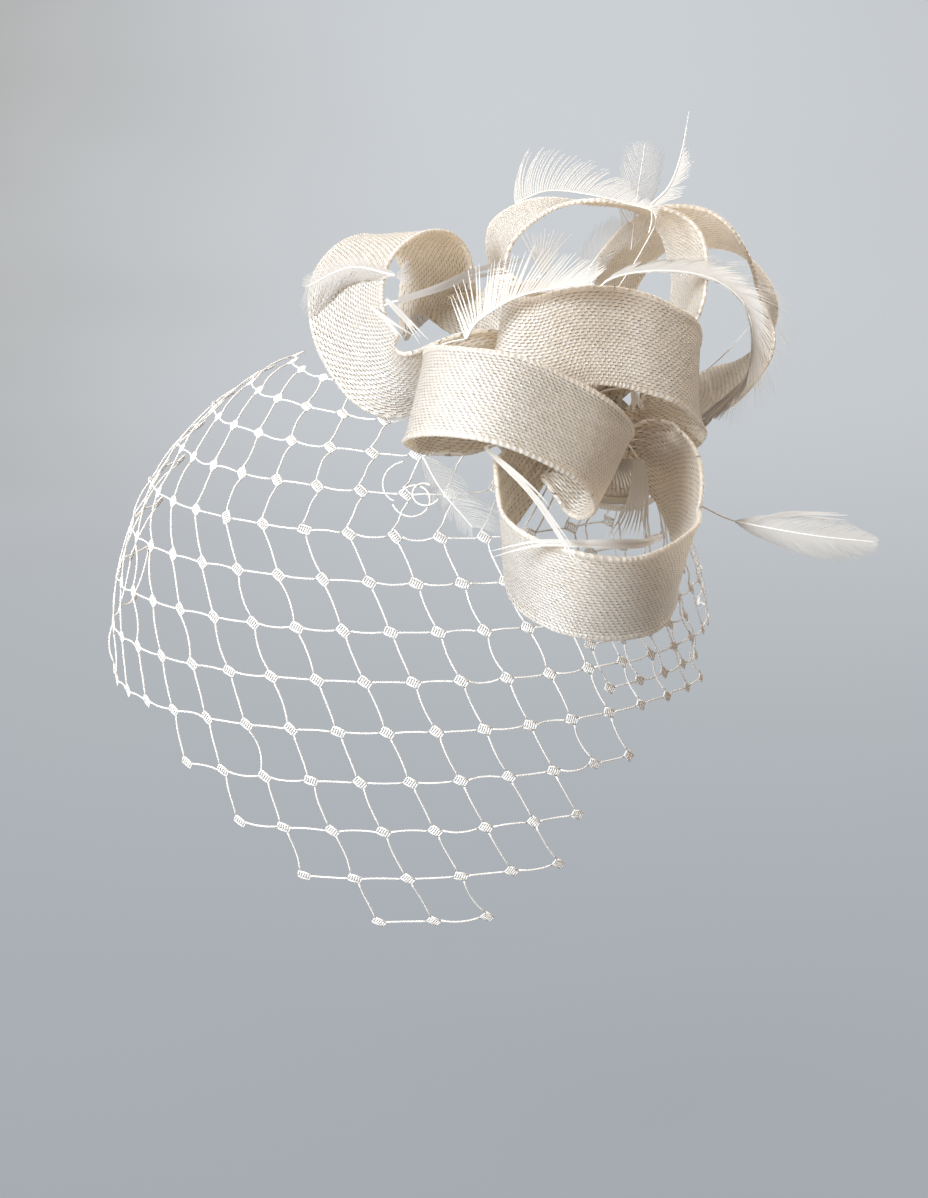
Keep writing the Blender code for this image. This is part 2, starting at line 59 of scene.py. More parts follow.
# Each station of a band: its centre, then the direction across the band.
LOOPS = {
    "left": (
        (-18, -16, 17, -0.4, 0.7, 0.6), (-20, -21, 22, -0.2, 0.4, 0.9), (-29, -32, 28, 0.3, -0.4, 0.9),
        (-54, -30, 20, 0.7, -0.5, 0.4), (-68, -22, 32, 0.8, -0.6, 0.2), (-72, -15, 46, 0.8, -0.6, 0.1),
        (-69, -8, 58, 0.8, -0.6, 0.1), (-59, 10, 65, 0.8, -0.6, 0.1), (-48, 28, 63, 0.8, -0.6, 0.1),
        (-42, 34, 52, 0.8, -0.6, 0.1), (-42, 30, 37, 0.8, -0.6, 0.1), (-23, 6, 43, 0.7, -0.5, 0.4),
        (-13, -7, 30, 0.9, 0.3, 0.1), (-17, -6, 21, 0.7, 0.7, -0.1),
    ),
    "front": (
        (-6, -15, 8, -0.6, 0.5, 0.6), (-4, -20, 15, -0.4, 0.6, 0.7), (-31, -47, 12, 0.2, 0.6, 0.8),
        (-43, -50, 14, 0.2, 0.6, 0.8), (-48, -63, 20, 0.2, 0.6, 0.8), (-43, -79, 24, 0.2, 0.6, 0.8),
        (-31, -89, 25, 0.2, 0.6, 0.8), (-18, -92, 23, 0.2, 0.6, 0.8), (-5, -89, 17, 0.2, 0.6, 0.8),
        (8, -82, 9, 0.3, 0.6, 0.8), (15, -68, -2, 0.4, 0.6, 0.7), (11, -53, -8, 0.4, 0.6, 0.7),
        (4, -48, -1, 0.3, 0.6, 0.8), (10, -25, 5, -0.5, 0.3, 0.8), (6, -18, -2, -0.8, 0.1, 0.6),
    ),
    "upper": (
        (17, -4, 0, 0.0, 0.9, 0.5), (24, -7, 5, 0.0, 0.8, 0.6), (29, -6, 3, 0.1, 0.5, 0.9),
        (41, -10, 8, 0.0, 0.5, 0.9), (46, -17, 17, 0.0, 0.4, 0.9), (41, -33, 27, 0.1, 0.4, 0.9),
        (30, -41, 33, 0.0, 0.3, 1.0), (18, -45, 37, 0.1, 0.3, 1.0), (4, -51, 38, 0.2, 0.2, 1.0),
        (-8, -54, 35, 0.2, 0.1, 1.0), (-19, -52, 35, 0.2, 0.0, 1.0), (-22, -45, 37, 0.2, -0.1, 1.0),
        (-14, -35, 39, 0.2, -0.1, 1.0), (-3, -17, 35, 0.2, 0.0, 1.0), (4, 2, 23, -0.3, 0.4, 0.8),
        (2, 8, 16, -0.5, 0.6, 0.6),
    ),
    "lower": (
        (-6, -31, -1, -0.8, 0.1, 0.6), (-9, -38, -2, -0.6, 0.0, 0.8), (-20, -54, -13, -0.2, -0.2, 1.0),
        (-21, -67, -17, -0.1, -0.2, 1.0), (-19, -82, -28, -0.1, -0.3, 0.9), (-10, -95, -33, 0.0, -0.4, 0.9),
        (3, -102, -36, 0.1, -0.4, 0.9), (17, -98, -38, 0.1, -0.4, 0.9), (30, -86, -37, 0.1, -0.3, 0.9),
        (38, -67, -34, 0.2, -0.3, 0.9), (40, -47, -31, 0.2, -0.3, 0.9), (40, -33, -16, 0.2, -0.2, 1.0),
        (33, -18, -6, 0.1, -0.1, 1.0), (24, -19, -2, 0.2, 0.7, 0.7), (17, -15, -7, 0.1, 0.9, 0.4),
    ),
    "back": (
        (-1, 15, 21, 0.8, 0.6, -0.2), (2, 14, 29, 0.5, 0.8, -0.1), (-6, 25, 32, -0.1, 1.0, 0.1),
        (-18, 43, 43, -0.2, 1.0, 0.1), (-21, 41, 61, -0.2, 1.0, 0.2), (-8, 44, 72, -0.1, 1.0, 0.1),
        (11, 44, 74, 0.0, 1.0, -0.1), (31, 44, 71, -0.1, 1.0, -0.1), (44, 40, 60, -0.3, 0.9, -0.3),
        (46, 36, 44, -0.3, 0.9, -0.2), (39, 36, 25, -0.3, 0.9, -0.1), (22, 15, 16, -0.7, 0.6, 0.4),
        (17, 16, 9, -0.7, 0.3, 0.6),
    ),
    "back_right": (
        (9, 23, 18, 0.8, 0.0, -0.5), (14, 23, 26, 0.8, 0.4, -0.5), (15, 57, 28, 0.3, 0.9, -0.1),
        (23, 73, 47, 0.5, 0.8, -0.4), (37, 78, 61, 0.3, 0.8, -0.5), (53, 79, 62, 0.1, 0.8, -0.5),
        (68, 77, 55, 0.2, 0.9, -0.3), (77, 72, 40, 0.3, 0.9, -0.2), (75, 65, 25, 0.2, 1.0, 0.0),
        (65, 54, 14, -0.1, 1.0, 0.2), (51, 44, 5, -0.1, 1.0, 0.3), (36, 38, 4, 0.1, 1.0, 0.2),
        (34, 1, 2, -0.7, 0.5, 0.6), (29, 2, -6, -0.8, 0.0, 0.6),
    ),
}


def unit(vectors):
    """Each row of an array of vectors, made one long."""
    return vectors / np.maximum(np.linalg.norm(vectors, axis=-1, keepdims=True), 1e-9)


def smooth_curve(points, steps):
    """Places on a Catmull-Rom curve through the points, with this many steps between two of them."""
    points = np.asarray(points, float)
    ends = np.vstack([2 * points[0] - points[1], points, 2 * points[-1] - points[-2]])
    t = (np.arange(steps) / steps)[:, None]
    spans = []
    for a, b, c, d in zip(ends, ends[1:], ends[2:], ends[3:]):
        spans.append(
            0.5 * (2 * b + (c - a) * t + (2 * a - 5 * b + 4 * c - d) * t**2 + (3 * b - a - 3 * c + d) * t**3)
        )
    return np.vstack([*spans, points[-1:]])


def distances(places):
    """How far along the line each place is."""
    return np.concatenate([[0.0], np.cumsum(np.linalg.norm(np.diff(places, axis=0), axis=1))])


def evenly(curve, count):
    """The curve again, at this many places an even distance apart, and each one's old index."""
    gone = distances(curve)
    wanted = np.linspace(0.0, gone[-1], count)
    index = np.interp(wanted, gone, np.arange(len(curve)))
    even = np.stack([np.interp(wanted, gone, curve[:, k]) for k in range(3)], axis=1)
    return even, index, gone[-1]


def along_of(curve):
    return unit(np.gradient(curve, axis=0))


def squared(across, along):
    """Directions across, made square to the curve."""
    across = np.broadcast_to(np.asarray(across, float), along.shape)
    return unit(across - along * np.sum(across * along, axis=1, keepdims=True))


def mesh_piece(name, vertices, faces, finish, uv=None):
    """A mesh object from vertices in millimetres and an array of quads. uv holds one pair for each vertex."""
    mesh = bpy.data.meshes.new(name)
    vertices = np.asarray(vertices, np.float32).reshape(-1, 3) * MM
    faces = np.asarray(faces, np.int32)
    mesh.vertices.add(len(vertices))
    mesh.vertices.foreach_set("co", vertices.ravel())
    mesh.loops.add(faces.size)
    mesh.loops.foreach_set("vertex_index", faces.ravel())
    mesh.polygons.add(len(faces))
    mesh.polygons.foreach_set("loop_start", np.arange(0, faces.size, 4, dtype=np.int32))
    if uv is not None:
        layer = mesh.uv_layers.new(name="UVMap")
        layer.data.foreach_set("uv", np.asarray(uv, np.float32)[faces.ravel()].ravel())
    mesh.update(calc_edges=True)
    mesh.validate()
    mesh.shade_smooth()
    made = bpy.data.objects.new(name, mesh)
    bpy.context.scene.collection.objects.link(made)
    made.data.materials.append(finish)
    return made


def grid_faces(rows, columns, first=0, closed=False):
    """Quads between rows of vertices. closed joins the last column to the first."""
    r = np.arange(rows - 1)[:, None]
    c = np.arange(columns if closed else columns - 1)[None, :]
    after = (c + 1) % columns
    here = first + r * columns
    quads = np.stack([here + c, here + after, here + columns + after, here + columns + c], -1)
    return quads.reshape(-1, 4)


def grid_uv(across, gone):
    """One UV pair for each vertex of a grid: how far across and how far along it is."""
    return np.stack(np.broadcast_arrays(across, gone[:, None]), -1).reshape(-1, 2)


class Strips:
    """Gathers many strips, each a few vertices wide, into one mesh."""

    def __init__(self, wide):
        self.wide = wide
        self.vertices, self.faces, self.uv = [], [], []
        self.count = 0

    def gather(self, vertices, faces, uv):
        self.vertices.append(vertices.reshape(-1, 3))
        self.faces.append(faces)
        self.uv.append(uv)
        self.count += self.vertices[-1].shape[0]

    def piece(self, name, finish):
        return mesh_piece(name, np.vstack(self.vertices), np.vstack(self.faces), finish, np.vstack(self.uv))


class Tubes(Strips):
    """Thin round tubes, this many sides round."""

    def add(self, places, radius):
        """A tube along the places, closed to a point at both ends. radius is one number or one for each."""
        places = np.asarray(places, float)
        radius = np.broadcast_to(np.asarray(radius, float), (len(places),))
        along = along_of(places)
        guide = np.array((0.31, 0.23, 0.92)) if abs(along[0][2]) < 0.8 else np.array((0.92, 0.31, 0.23))
        side = np.zeros_like(places)
        for i, direction in enumerate(along):
            guide = guide - direction * guide.dot(direction)
            guide = guide / np.linalg.norm(guide)
            side[i] = guide
        other = np.cross(along, side)
        places, side, other = (np.vstack([x[:1], x, x[-1:]]) for x in (places, side, other))
        radius = np.concatenate([[radius[0] * 0.02], radius, [radius[-1] * 0.02]])
        angle = 2 * np.pi * np.arange(self.wide) / self.wide
        ring = side[:, None] * np.cos(angle)[:, None] + other[:, None] * np.sin(angle)[:, None]
        faces = grid_faces(len(places), self.wide, self.count, closed=True)[:, ::-1]
        self.gather(places[:, None] + ring * radius[:, None, None], faces, grid_uv(angle, distances(places)))


class Ribbons(Strips):
    """Narrow flat ribbons, such as feather barbs."""

    def add(self, places, across, width, ridge=0.0):
        """A ribbon along the places, with a raised middle line where ridge is over 0."""
        along = along_of(places)
        side = squared(across, along)
        half = np.asarray(width)[:, None] / 2
        middle = places + np.cross(along, side) * ridge * np.minimum(half * 2, 1.0)
        start = self.count * 0.37
        u = np.hstack([start - half, start + 0 * half, start + half])
        faces = grid_faces(len(places), self.wide, self.count)
        vertices = np.stack([places - side * half, middle, places + side * half], 1)
        self.gather(vertices, faces, grid_uv(u, distances(places)))


class Graph:
    """Short ways to add and join shader nodes in one material. A colour is given without its alpha."""

    def __init__(self, name):
        self.material = bpy.data.materials.new(name)
        self.material.use_nodes = True
        self.tree = self.material.node_tree
        self.shader = self.tree.nodes["Principled BSDF"]
        self.output = self.tree.nodes["Material Output"]

    def node(self, kind, **inputs):
        made = self.tree.nodes.new("ShaderNode" + kind)
        for key, value in inputs.items():
            self.set(made.inputs[key.replace("_", " ")], value)
        return made

    def set(self, socket, value):
        if isinstance(value, bpy.types.NodeSocket):
            self.tree.links.new(value, socket)
        else:
            socket.default_value = (*value, 1.0) if socket.type == "RGBA" else value

    def math(self, operation, a, b=0.0, kind="Math"):
        made = self.node(kind)
        made.operation = operation
        self.set(made.inputs[0], a)
        self.set(made.inputs[1], b)
        return made.outputs[0]

    def plus(self, a, b):
        return self.math("ADD", a, b)

    def less(self, a, b):
        return self.math("SUBTRACT", a, b)

    def times(self, a, b):
        return self.math("MULTIPLY", a, b)

    def fall(self, part, power):
        """0 in the middle of a part that runs from -0.5 to 0.5, and 1 at its ends."""
        return self.math("POWER", self.times(self.math("ABSOLUTE", part), 2.0), power)

    def mix(self, share, a, b):
        """A colour between a and b."""
        made = self.node("Mix", Factor=share)
        made.data_type = "RGBA"
        self.set(made.inputs[6], a)
        self.set(made.inputs[7], b)
        return made.outputs[2]

    def ramp(self, value, low, high):
        """0 below low and 1 above high, smoothly."""
        made = self.node("MapRange", Value=value, From_Min=low, From_Max=high)
        made.interpolation_type = "SMOOTHSTEP"
        return made.outputs[0]

    def noise(self, where, scale=1.0, detail=2.0, rough=0.5):
        """Noise. scale is one number, or one for each axis."""
        if isinstance(scale, tuple):
            where, scale = self.math("MULTIPLY", where, scale, "VectorMath"), 1.0
        made = self.node("TexNoise", Vector=where, Scale=scale, Detail=detail, Roughness=rough)
        return made.outputs["Fac"]

    def bump(self, height, distance, strength=1.0):
        return self.node("Bump", Height=height, Distance=distance, Strength=strength).outputs[0]

    def uv(self):
        """The two UV numbers, in millimetres, and the whole vector."""
        where = self.node("UVMap")
        where.uv_map = "UVMap"
        parts = self.node("SeparateXYZ", Vector=where.outputs[0])
        return parts.outputs[0], parts.outputs[1], where.outputs[0]

    def place(self):
        return self.node("TexCoord").outputs["Object"]

    def finish(self, colour, roughness, normal=None, through=0.0, glow_colour=None, **values):
        """Joins the surface. through is the share of light that passes, as in thin cloth or a feather."""
        self.set(self.shader.inputs["Base Color"], colour)
        self.set(self.shader.inputs["Roughness"], roughness)
        if normal is not None:
            self.set(self.shader.inputs["Normal"], normal)
        for key, value in values.items():
            self.set(self.shader.inputs[key.replace("_", " ")], value)
        if through:
            glow = self.node("BsdfTranslucent", Color=glow_colour or colour, Normal=normal)
            both = self.node("MixShader", Fac=through)
            self.set(both.inputs[1], self.shader.outputs[0])
            self.set(both.inputs[2], glow.outputs[0])
            self.set(self.output.inputs["Surface"], both.outputs[0])
        return self.material


ROW_PITCH = 1.05
STRAND_LENGTH = 2.0
TWILL_STEP = 0.47
STRAND_SLANT = 0.22
LANE_DEPTH = 0.72
DASH_DEPTH = 0.55
BAND_MIDDLE = 60.0
RIM_STARTS = 14.3
RIM_TWIST = 2.1


def sinamay_material():
    """Woven sinamay: pale oval strands in rows along the band, a twill step apart, with small slits in
    painted shade.
    """
    g = Graph("sinamay_weave")
    across, along, where = g.uv()
    wander = g.noise(where, (0.05, 0.05, 1.0), 1.0)
    lane = g.plus(g.times(across, 1 / ROW_PITCH), g.times(wander, 1.2))
    lane_number = g.math("FLOOR", lane)
    lane_part = g.less(g.math("FRACT", lane), 0.5)
    slack = g.noise(where, (0.35, 0.22, 1.0))
    uneven = g.times(g.noise(where, (0.9, 0.12, 1.0)), 0.8)
    dash = g.plus(g.plus(g.times(along, 1 / STRAND_LENGTH), g.times(lane_number, TWILL_STEP)), uneven)
    dash_number = g.math("FLOOR", dash)
    dash_part = g.less(g.math("FRACT", dash), 0.5)
    lane_part = g.plus(lane_part, g.times(dash_part, STRAND_SLANT))
    crown = g.less(1.0, g.times(g.fall(lane_part, 2.6), LANE_DEPTH))
    height = g.less(crown, g.times(g.fall(dash_part, 3.0), DASH_DEPTH))
    rim = g.ramp(g.math("ABSOLUTE", g.less(across, BAND_MIDDLE)), RIM_STARTS, RIM_STARTS + 0.6)
    lay = g.plus(g.times(along, 2 * math.pi / RIM_TWIST), g.times(across, 1.6))
    twist = g.plus(0.66, g.times(g.math("SINE", lay), 0.34))
    height = g.plus(height, g.times(g.less(twist, height), rim))
    height = g.plus(height, g.times(g.less(slack, 0.5), 0.7))
    slit = g.ramp(height, 0.1, 0.38)
    which = g.node("CombineXYZ", X=lane_number, Y=dash_number)
    each = g.node("TexWhiteNoise", Vector=which.outputs[0]).outputs["Value"]
    fibre = g.noise(where, (9.0, 0.7, 1.0), 3.0, 0.6)
    # Each strand's own random tone, spread wide from tan to near white so that single strands also read as
    # painted glints.
    pale = g.mix(each, (0.85, 0.825, 0.79), (0.99, 0.98, 0.97))
    pale = g.mix(g.times(fibre, 0.22), pale, (0.80, 0.75, 0.68))
    pale = g.mix(g.times(g.noise(g.place(), 55.0, 3.0), 0.1), pale, (0.86, 0.80, 0.70))
    # The slits' near-black colour is painted shade in the gaps between strands.
    colour = g.mix(slit, (0.10, 0.085, 0.07), pale)
    relief = g.plus(g.plus(g.times(height, 0.8), g.times(fibre, 0.3)), g.times(each, 0.22))
    rough = g.plus(0.24, g.times(fibre, 0.18))
    # The slits' painted shade also darkens the light that passes through the band.
    glow = g.mix(slit, (0.50, 0.41, 0.30), (0.98, 0.87, 0.71))
    return g.finish(
        colour, rough, g.bump(relief, 0.00042), 0.48, glow,
        Sheen_Weight=0.15, Sheen_Roughness=0.4, IOR=1.9, Specular_IOR_Level=1.0,
    )


def feather_material(name, dark, light, through):
    """Feather barbs: silky, faintly warm, with fine lines along each barb."""
    g = Graph(name)
    lines = g.noise(g.uv()[2], (6.0, 0.35, 1.0))
    colour = g.mix(g.times(g.noise(g.place(), 90.0), 0.35), g.mix(lines, dark, light), dark)
    rough = g.plus(0.42, g.times(lines, 0.2))
    normal = g.bump(lines, 0.00008, 0.5)
    return g.finish(colour, rough, normal, through, Sheen_Weight=0.2, Specular_IOR_Level=0.4)


def quill_material():
    """A feather's shaft: smooth horn, creamy and slightly see-through."""
    g = Graph("feather_shaft")
    grain = g.noise(g.uv()[2], (1.0, 0.5, 1.0), 3.0)
    colour = g.mix(grain, (0.90, 0.85, 0.76), (0.97, 0.945, 0.90))
    rough = g.plus(0.28, g.times(grain, 0.15))
    return g.finish(colour, rough, g.bump(grain, 0.00005, 0.4), 0.1, Coat_Weight=0.1)


def fibrous(g, weave, fuzz, dark, light, stain, rough, raised, bump, sheen, through=0.0):
    """Thread or cloth: a weave from dark to light, with fuzz that stains, roughens and raises it.

    rough is the least and the added roughness, and bump is the relief's height in metres and its strength.
    """
    colour = g.mix(g.times(fuzz, stain), g.mix(weave, dark, light), dark)
    relief = g.plus(weave, g.times(fuzz, raised))
    rough = g.plus(rough[0], g.times(fuzz, rough[1]))
    return g.finish(colour, rough, g.bump(relief, *bump), through, Sheen_Weight=sheen)


def twisted_thread_material(name, light, dark, through=0.0, depth=0.00012):
    """Two-ply thread: slanting grooves round the tube and a little fuzz."""
    g = Graph(name)
    angle, along, where = g.uv()
    turn = g.plus(g.times(along, 2 * math.pi / 1.1), angle)
    groove = g.plus(0.5, g.times(g.math("SINE", turn), 0.5))
    fuzz = g.noise(where, (2.0, 3.0, 1.0), 3.0, 0.7)
    return fibrous(g, groove, fuzz, dark, light, 0.3, (0.45, 0.25), 0.5, (depth, 0.7), 0.25, through)


def cloth_material(name, light, dark, pitch):
    """Plain-weave cloth by object place, for the lining, the binding and the collar."""
    g = Graph(name)
    x, y, z = g.node("SeparateXYZ", Vector=g.place()).outputs
    spread = 2 * math.pi / (pitch * MM)
    warp = g.math("SINE", g.times(g.plus(x, z), spread))
    weft = g.math("SINE", g.times(g.less(y, z), spread))
    weave = g.plus(0.5, g.times(g.times(warp, weft), 0.5))
    slub = g.noise(g.place(), 260.0, 4.0, 0.6)
    return fibrous(g, weave, slub, dark, light, 0.35, (0.62, 0.2), 0.8, (0.00018, 0.8), 0.3)


def comb_material():
    """Clear-cream moulded plastic, with faint flow marks and handling scratches."""
    g = Graph("comb_plastic_moulded")
    flow = g.noise(g.place(), (30.0, 160.0, 160.0), 3.0)
    scratch = g.noise(g.place(), (3000.0, 220.0, 600.0))
    colour = g.mix(flow, (0.80, 0.71, 0.57), (0.90, 0.83, 0.71))
    rough = g.plus(0.14, g.times(scratch, 0.22))
    return g.finish(
        colour, rough, g.bump(scratch, 0.00003, 0.4), Transmission_Weight=0.35, Coat_Weight=0.25,
        Subsurface_Weight=0.15, Subsurface_Radius=(0.003, 0.002, 0.001),
    )


def carried_thread_material():
    """Thread by object place, for the pieces that keep their CAD shape."""
    g = Graph("carried_thread")
    wave = g.node("TexWave", Vector=g.place(), Scale=420.0, Distortion=1.2)
    wave.wave_type = "BANDS"
    wave.bands_direction = "DIAGONAL"
    twist = wave.outputs["Fac"]
    fuzz = g.noise(g.place(), 1500.0, 3.0, 0.7)
    colour = g.mix(twist, (0.70, 0.64, 0.54), (0.93, 0.90, 0.84))
    colour = g.mix(g.times(fuzz, 0.25), colour, (0.74, 0.68, 0.58))
    rough = g.plus(0.5, g.times(fuzz, 0.2))
    return g.finish(colour, rough, g.bump(g.plus(twist, g.times(fuzz, 0.4)), 0.00015, 0.7), Sheen_Weight=0.25)


SINAMAY = sinamay_material()
FEATHER = feather_material("feather_barbs", (0.69, 0.65, 0.605), (0.81, 0.785, 0.75), 0.42)
# Softer, more see-through barbs for the leaf-like feathers, in a darker colour that is painted shade for
# feathers that stand in shade.
SOFT_SHADED_FEATHER = feather_material("feather_soft_painted_shade", (0.55, 0.515, 0.48), (0.67, 0.645, 0.62), 0.5)
QUILL = quill_material()
NET = twisted_thread_material("net_thread", (0.95, 0.91, 0.86), (0.86, 0.80, 0.73), 0.1, 0.00005)
THREAD = twisted_thread_material("sewing_thread", (0.93, 0.90, 0.84), (0.68, 0.62, 0.52))
WRAP = cloth_material("collar_thread_wrap", (0.90, 0.87, 0.80), (0.66, 0.60, 0.50), 0.5)
LINING = cloth_material("lining_weave", (0.86, 0.82, 0.74), (0.64, 0.58, 0.49), 0.55)
BINDING = cloth_material("binding_weave", (0.90, 0.86, 0.78), (0.70, 0.63, 0.53), 0.45)
COMB = comb_material()
CARRIED_THREAD = carried_thread_material()

BAND_WIDTH = 32.0
BAND_END_WIDTH = 9.0
BAND_OPENING = 3.0
BAND_HALF = 0.24
BAND_COLUMNS = 64
BAND_STEP = 0.8
STATION_STEPS = 12
SMOOTHINGS = 14
RIM_RADIUS = 0.8
RIM_POINTS = 5


def strand_height(across, along):
    """The relief of the woven strands, from 0 in a slit to 1 on a strand's back."""
    lane = across / ROW_PITCH
    lane_number = np.floor(lane)
    dash = along / STRAND_LENGTH + lane_number * TWILL_STEP + 0.4
    dash_part = dash - np.floor(dash) - 0.5
    lane_fall = (2 * np.abs(lane - lane_number - 0.5 + STRAND_SLANT * dash_part)) ** 2.2
    dash_fall = (2 * np.abs(dash_part)) ** 3.0
    return np.clip(1.0 - LANE_DEPTH * lane_fall - DASH_DEPTH * dash_fall, 0.0, 1.0)


def loop_piece(name, stations, seed):
    """One looped band of doubled sinamay with turned, corded rims. Its ends are gathered narrow."""
    stations = np.array(stations, float)
    centres = smooth_curve(stations[:, :3], STATION_STEPS)
    for _ in range(SMOOTHINGS):
        centres[1:-1] = (centres[:-2] + 2 * centres[1:-1] + centres[2:]) / 4
    across = smooth_curve(unit(stations[:, 3:]), STATION_STEPS)
    rows = int(np.linalg.norm(np.diff(centres, axis=0), axis=1).sum() / BAND_STEP)
    centres, index, length = evenly(centres, rows)
    across = np.stack([np.interp(index, np.arange(len(across)), across[:, k]) for k in range(3)], 1)
    tangent = along_of(centres)
    across = squared(across, tangent)
    normal = np.cross(tangent, across)
    from_end = np.minimum(index, index.max() - index) / STATION_STEPS
    opened = np.clip(from_end / BAND_OPENING, 0, 1)
    opened = opened * opened * (3 - 2 * opened)
    width = BAND_END_WIDTH + (BAND_WIDTH - BAND_END_WIDTH) * opened
    gone = np.linspace(0, length, rows)
    rng = np.random.default_rng(seed)
    ripple = np.interp(gone, np.linspace(0, length, 9), rng.normal(0, 0.35, 9)) * opened
    edge = np.interp(gone, np.linspace(0, length, 24), rng.normal(0, 0.28, 24)) * opened

    # One ring round the band: its face, a rim, its back and the other rim.
    flat = np.linspace(-1, 1, BAND_COLUMNS)
    turn = np.linspace(np.pi / 2, -np.pi / 2, RIM_POINTS + 2)[1:-1]
    none, full = np.zeros(BAND_COLUMNS), np.ones(RIM_POINTS)
    share = np.concatenate([flat, full, -flat, -full])
    bulge = np.concatenate([none, np.cos(turn), none, -np.cos(turn)])
    lift = np.concatenate([none + 1, np.sin(turn), none - 1, -np.sin(turn)])
    on_rim = np.concatenate([none, full, none, full])
    half = (width / 2 - RIM_RADIUS)[:, None]
    u = share * half
    near_rim = np.clip(1 - (half - np.abs(u)) / 1.5, 0, 1) ** 0.6
    body = BAND_HALF + 0.06 * strand_height(u + BAND_MIDDLE, gone[:, None]) * (1 - near_rim)
    cord = RIM_RADIUS * (1 + 0.15 * np.cos(2 * np.pi * gone[:, None] / RIM_TWIST + 2.4 * lift))
    thick = body * (1 - near_rim) + cord * near_rim
    out_u = u + bulge * cord + edge[:, None] * share * 0.6
    folds = np.cos(np.pi * 5 * share) * 1.1 * (1 - opened)[:, None]
    crown = ripple[:, None] * np.cos(np.pi * share * 0.5) + folds
    out_n = lift * thick * (1 - 0.15 * on_rim) + crown
    places = centres[:, None] + across[:, None] * out_u[..., None] + normal[:, None] * out_n[..., None]

    columns = len(share)
    faces = [grid_faces(rows, columns, closed=True)]
    for first, side in ((0, -1), ((rows - 1) * columns, 1)):
        face = first + np.arange(BAND_COLUMNS)
        back = first + (2 * BAND_COLUMNS + RIM_POINTS - 1) - np.arange(BAND_COLUMNS)
        quads = np.stack([face[:-1], face[1:], back[1:], back[:-1]], -1)
        faces.append(quads[:, ::-1] if side < 0 else quads)
    uv = grid_uv(u + BAND_MIDDLE + share * (1 - np.abs(lift)) * 0.5, gone)
    made = mesh_piece("sinamay_" + name, places, np.vstack(faces), SINAMAY, uv)
    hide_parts("loop_" + name)
    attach(made, "root")


def vane(ribbons, path, across, rng, plus, lean, pitch, width, ragged, clumps=2, splay=0.5, gather=0.0,
         minus=None, last_lean=None, cup=0.0, within=False):
    """Barbs along both sides of a shaft, which reach as far from it as plus and minus say.

    Both are pairs of the share of the shaft and the reach there, and minus is left out where the sides are
    alike. Each barb leaves the shaft at the first lean angle and bends to the second. last_lean is the same
    pair at the shaft's tip, where it differs. within keeps the barbs from passing the tip, which makes a
    rounded leaf.
    """
    curve = smooth_curve(path, 16)
    length = np.linalg.norm(np.diff(curve, axis=0), axis=1).sum()
    count = max(6, int(length / pitch))
    even, _, _ = evenly(curve, count)
    tangent = along_of(even)
    side = squared(across, tangent)
    normal = np.cross(tangent, side)
    t = np.linspace(0, 1, count)
    group = np.sort(rng.uniform(0, 1, clumps))
    bounds = np.concatenate([[0.0], group, [1.0]])
    steps = np.linspace(0, 1, 8)
    last_lean = last_lean or lean
    for sign, pairs in ((1, plus), (-1, minus or plus)):
        reach = np.interp(t, *zip(*pairs))
        turn = rng.normal(0, splay, clumps + 1)
        for i in range(count):
            first, last = (lean[k] + (last_lean[k] - lean[k]) * t[i] for k in (0, 1))
            lean_share = np.sin(np.radians(first + (last - first) * steps**0.8)).mean()
            long = reach[i] / lean_share * (1 + rng.normal(0, ragged))
            if within:
                long = min(long, ((1 - t[i]) * length + 1.0) * 1.08)
            if long < 1.0:
                continue
            which = np.searchsorted(group, t[i])
            pull = ((bounds[which] + bounds[which + 1]) / 2 - t[i]) * length * gather
            begin = math.radians(first + rng.normal(0, 1.5))
            end = math.radians(last + turn[which] + rng.normal(0, 1.5))
            angle = begin + (end - begin) * steps**0.8
            step = long / (len(steps) - 1)
            go = np.cos(angle)[:, None] * tangent[i] + sign * np.sin(angle)[:, None] * side[i]
            places = even[i] + np.vstack([np.zeros(3), np.cumsum(go[1:] * step, axis=0)])
            places = places + tangent[i] * (pull * steps**2)[:, None]
            places = places + normal[i] * (cup * (steps * long) ** 2 / 10 + rng.normal(0, 0.05))[:, None]
            ribbons.add(places, tangent[i] * 0.9 + sign * side[i] * 0.2, width * (1 - 0.78 * steps**1.6))


def blade(ribbons, path, across, width, tip, ridge=0.18):
    """One biot or strand: a narrow blade, widest a third of the way and drawn out to a point."""
    curve, _, _ = evenly(smooth_curve(path, 8), 22)
    t = np.linspace(0, 1, len(curve))
    swell = np.clip(0.35 + 1.9 * t, 0, 1) * (1 - t**2.2) + tip * t
    ribbons.add(curve, across, width * swell, ridge)


def splayed(ribbons, path, across, rng, count, width, spread, first, tip=0.12):
    """Several blades that leave one root and part towards their tips, from this share of the way on."""
    path = np.asarray(path, float)
    t = np.linspace(0, 1, len(path))
    side = unit(np.asarray(across, float))
    part = np.clip((t - first) / (1 - first), 0, 1) ** 1.6
    for k in range(count):
        place = k - (count - 1) / 2
        apart = place * spread / max(count - 1, 1) * 2
        own = path[0] + (path - path[0]) * (1 - 0.13 * rng.uniform(0, 1))
        own = own + side * (apart * part + place * width * 0.45)[:, None]
        own = own + rng.normal(0, 0.35, (len(path), 3)) * part[:, None]
        blade(ribbons, own, across, width, tip)


def left_leaf(ribbons, path, across, rng, **shape):
    """A leaf-shaped vane, broad below its shaft, with a little down at the root."""
    vane(ribbons, path, across, rng, **shape)
    root = np.asarray(path[0], float)
    for lift in (4.0, 1.0, -2.0):
        down = [root, root + (2, -1, lift * 0.4), root + (4, -1, lift), root + (5.5, 0, lift * 1.2)]
        splayed(ribbons, down, (0.2, 0.0, 1.0), rng, 6, 0.4, 1.6, 0.1)


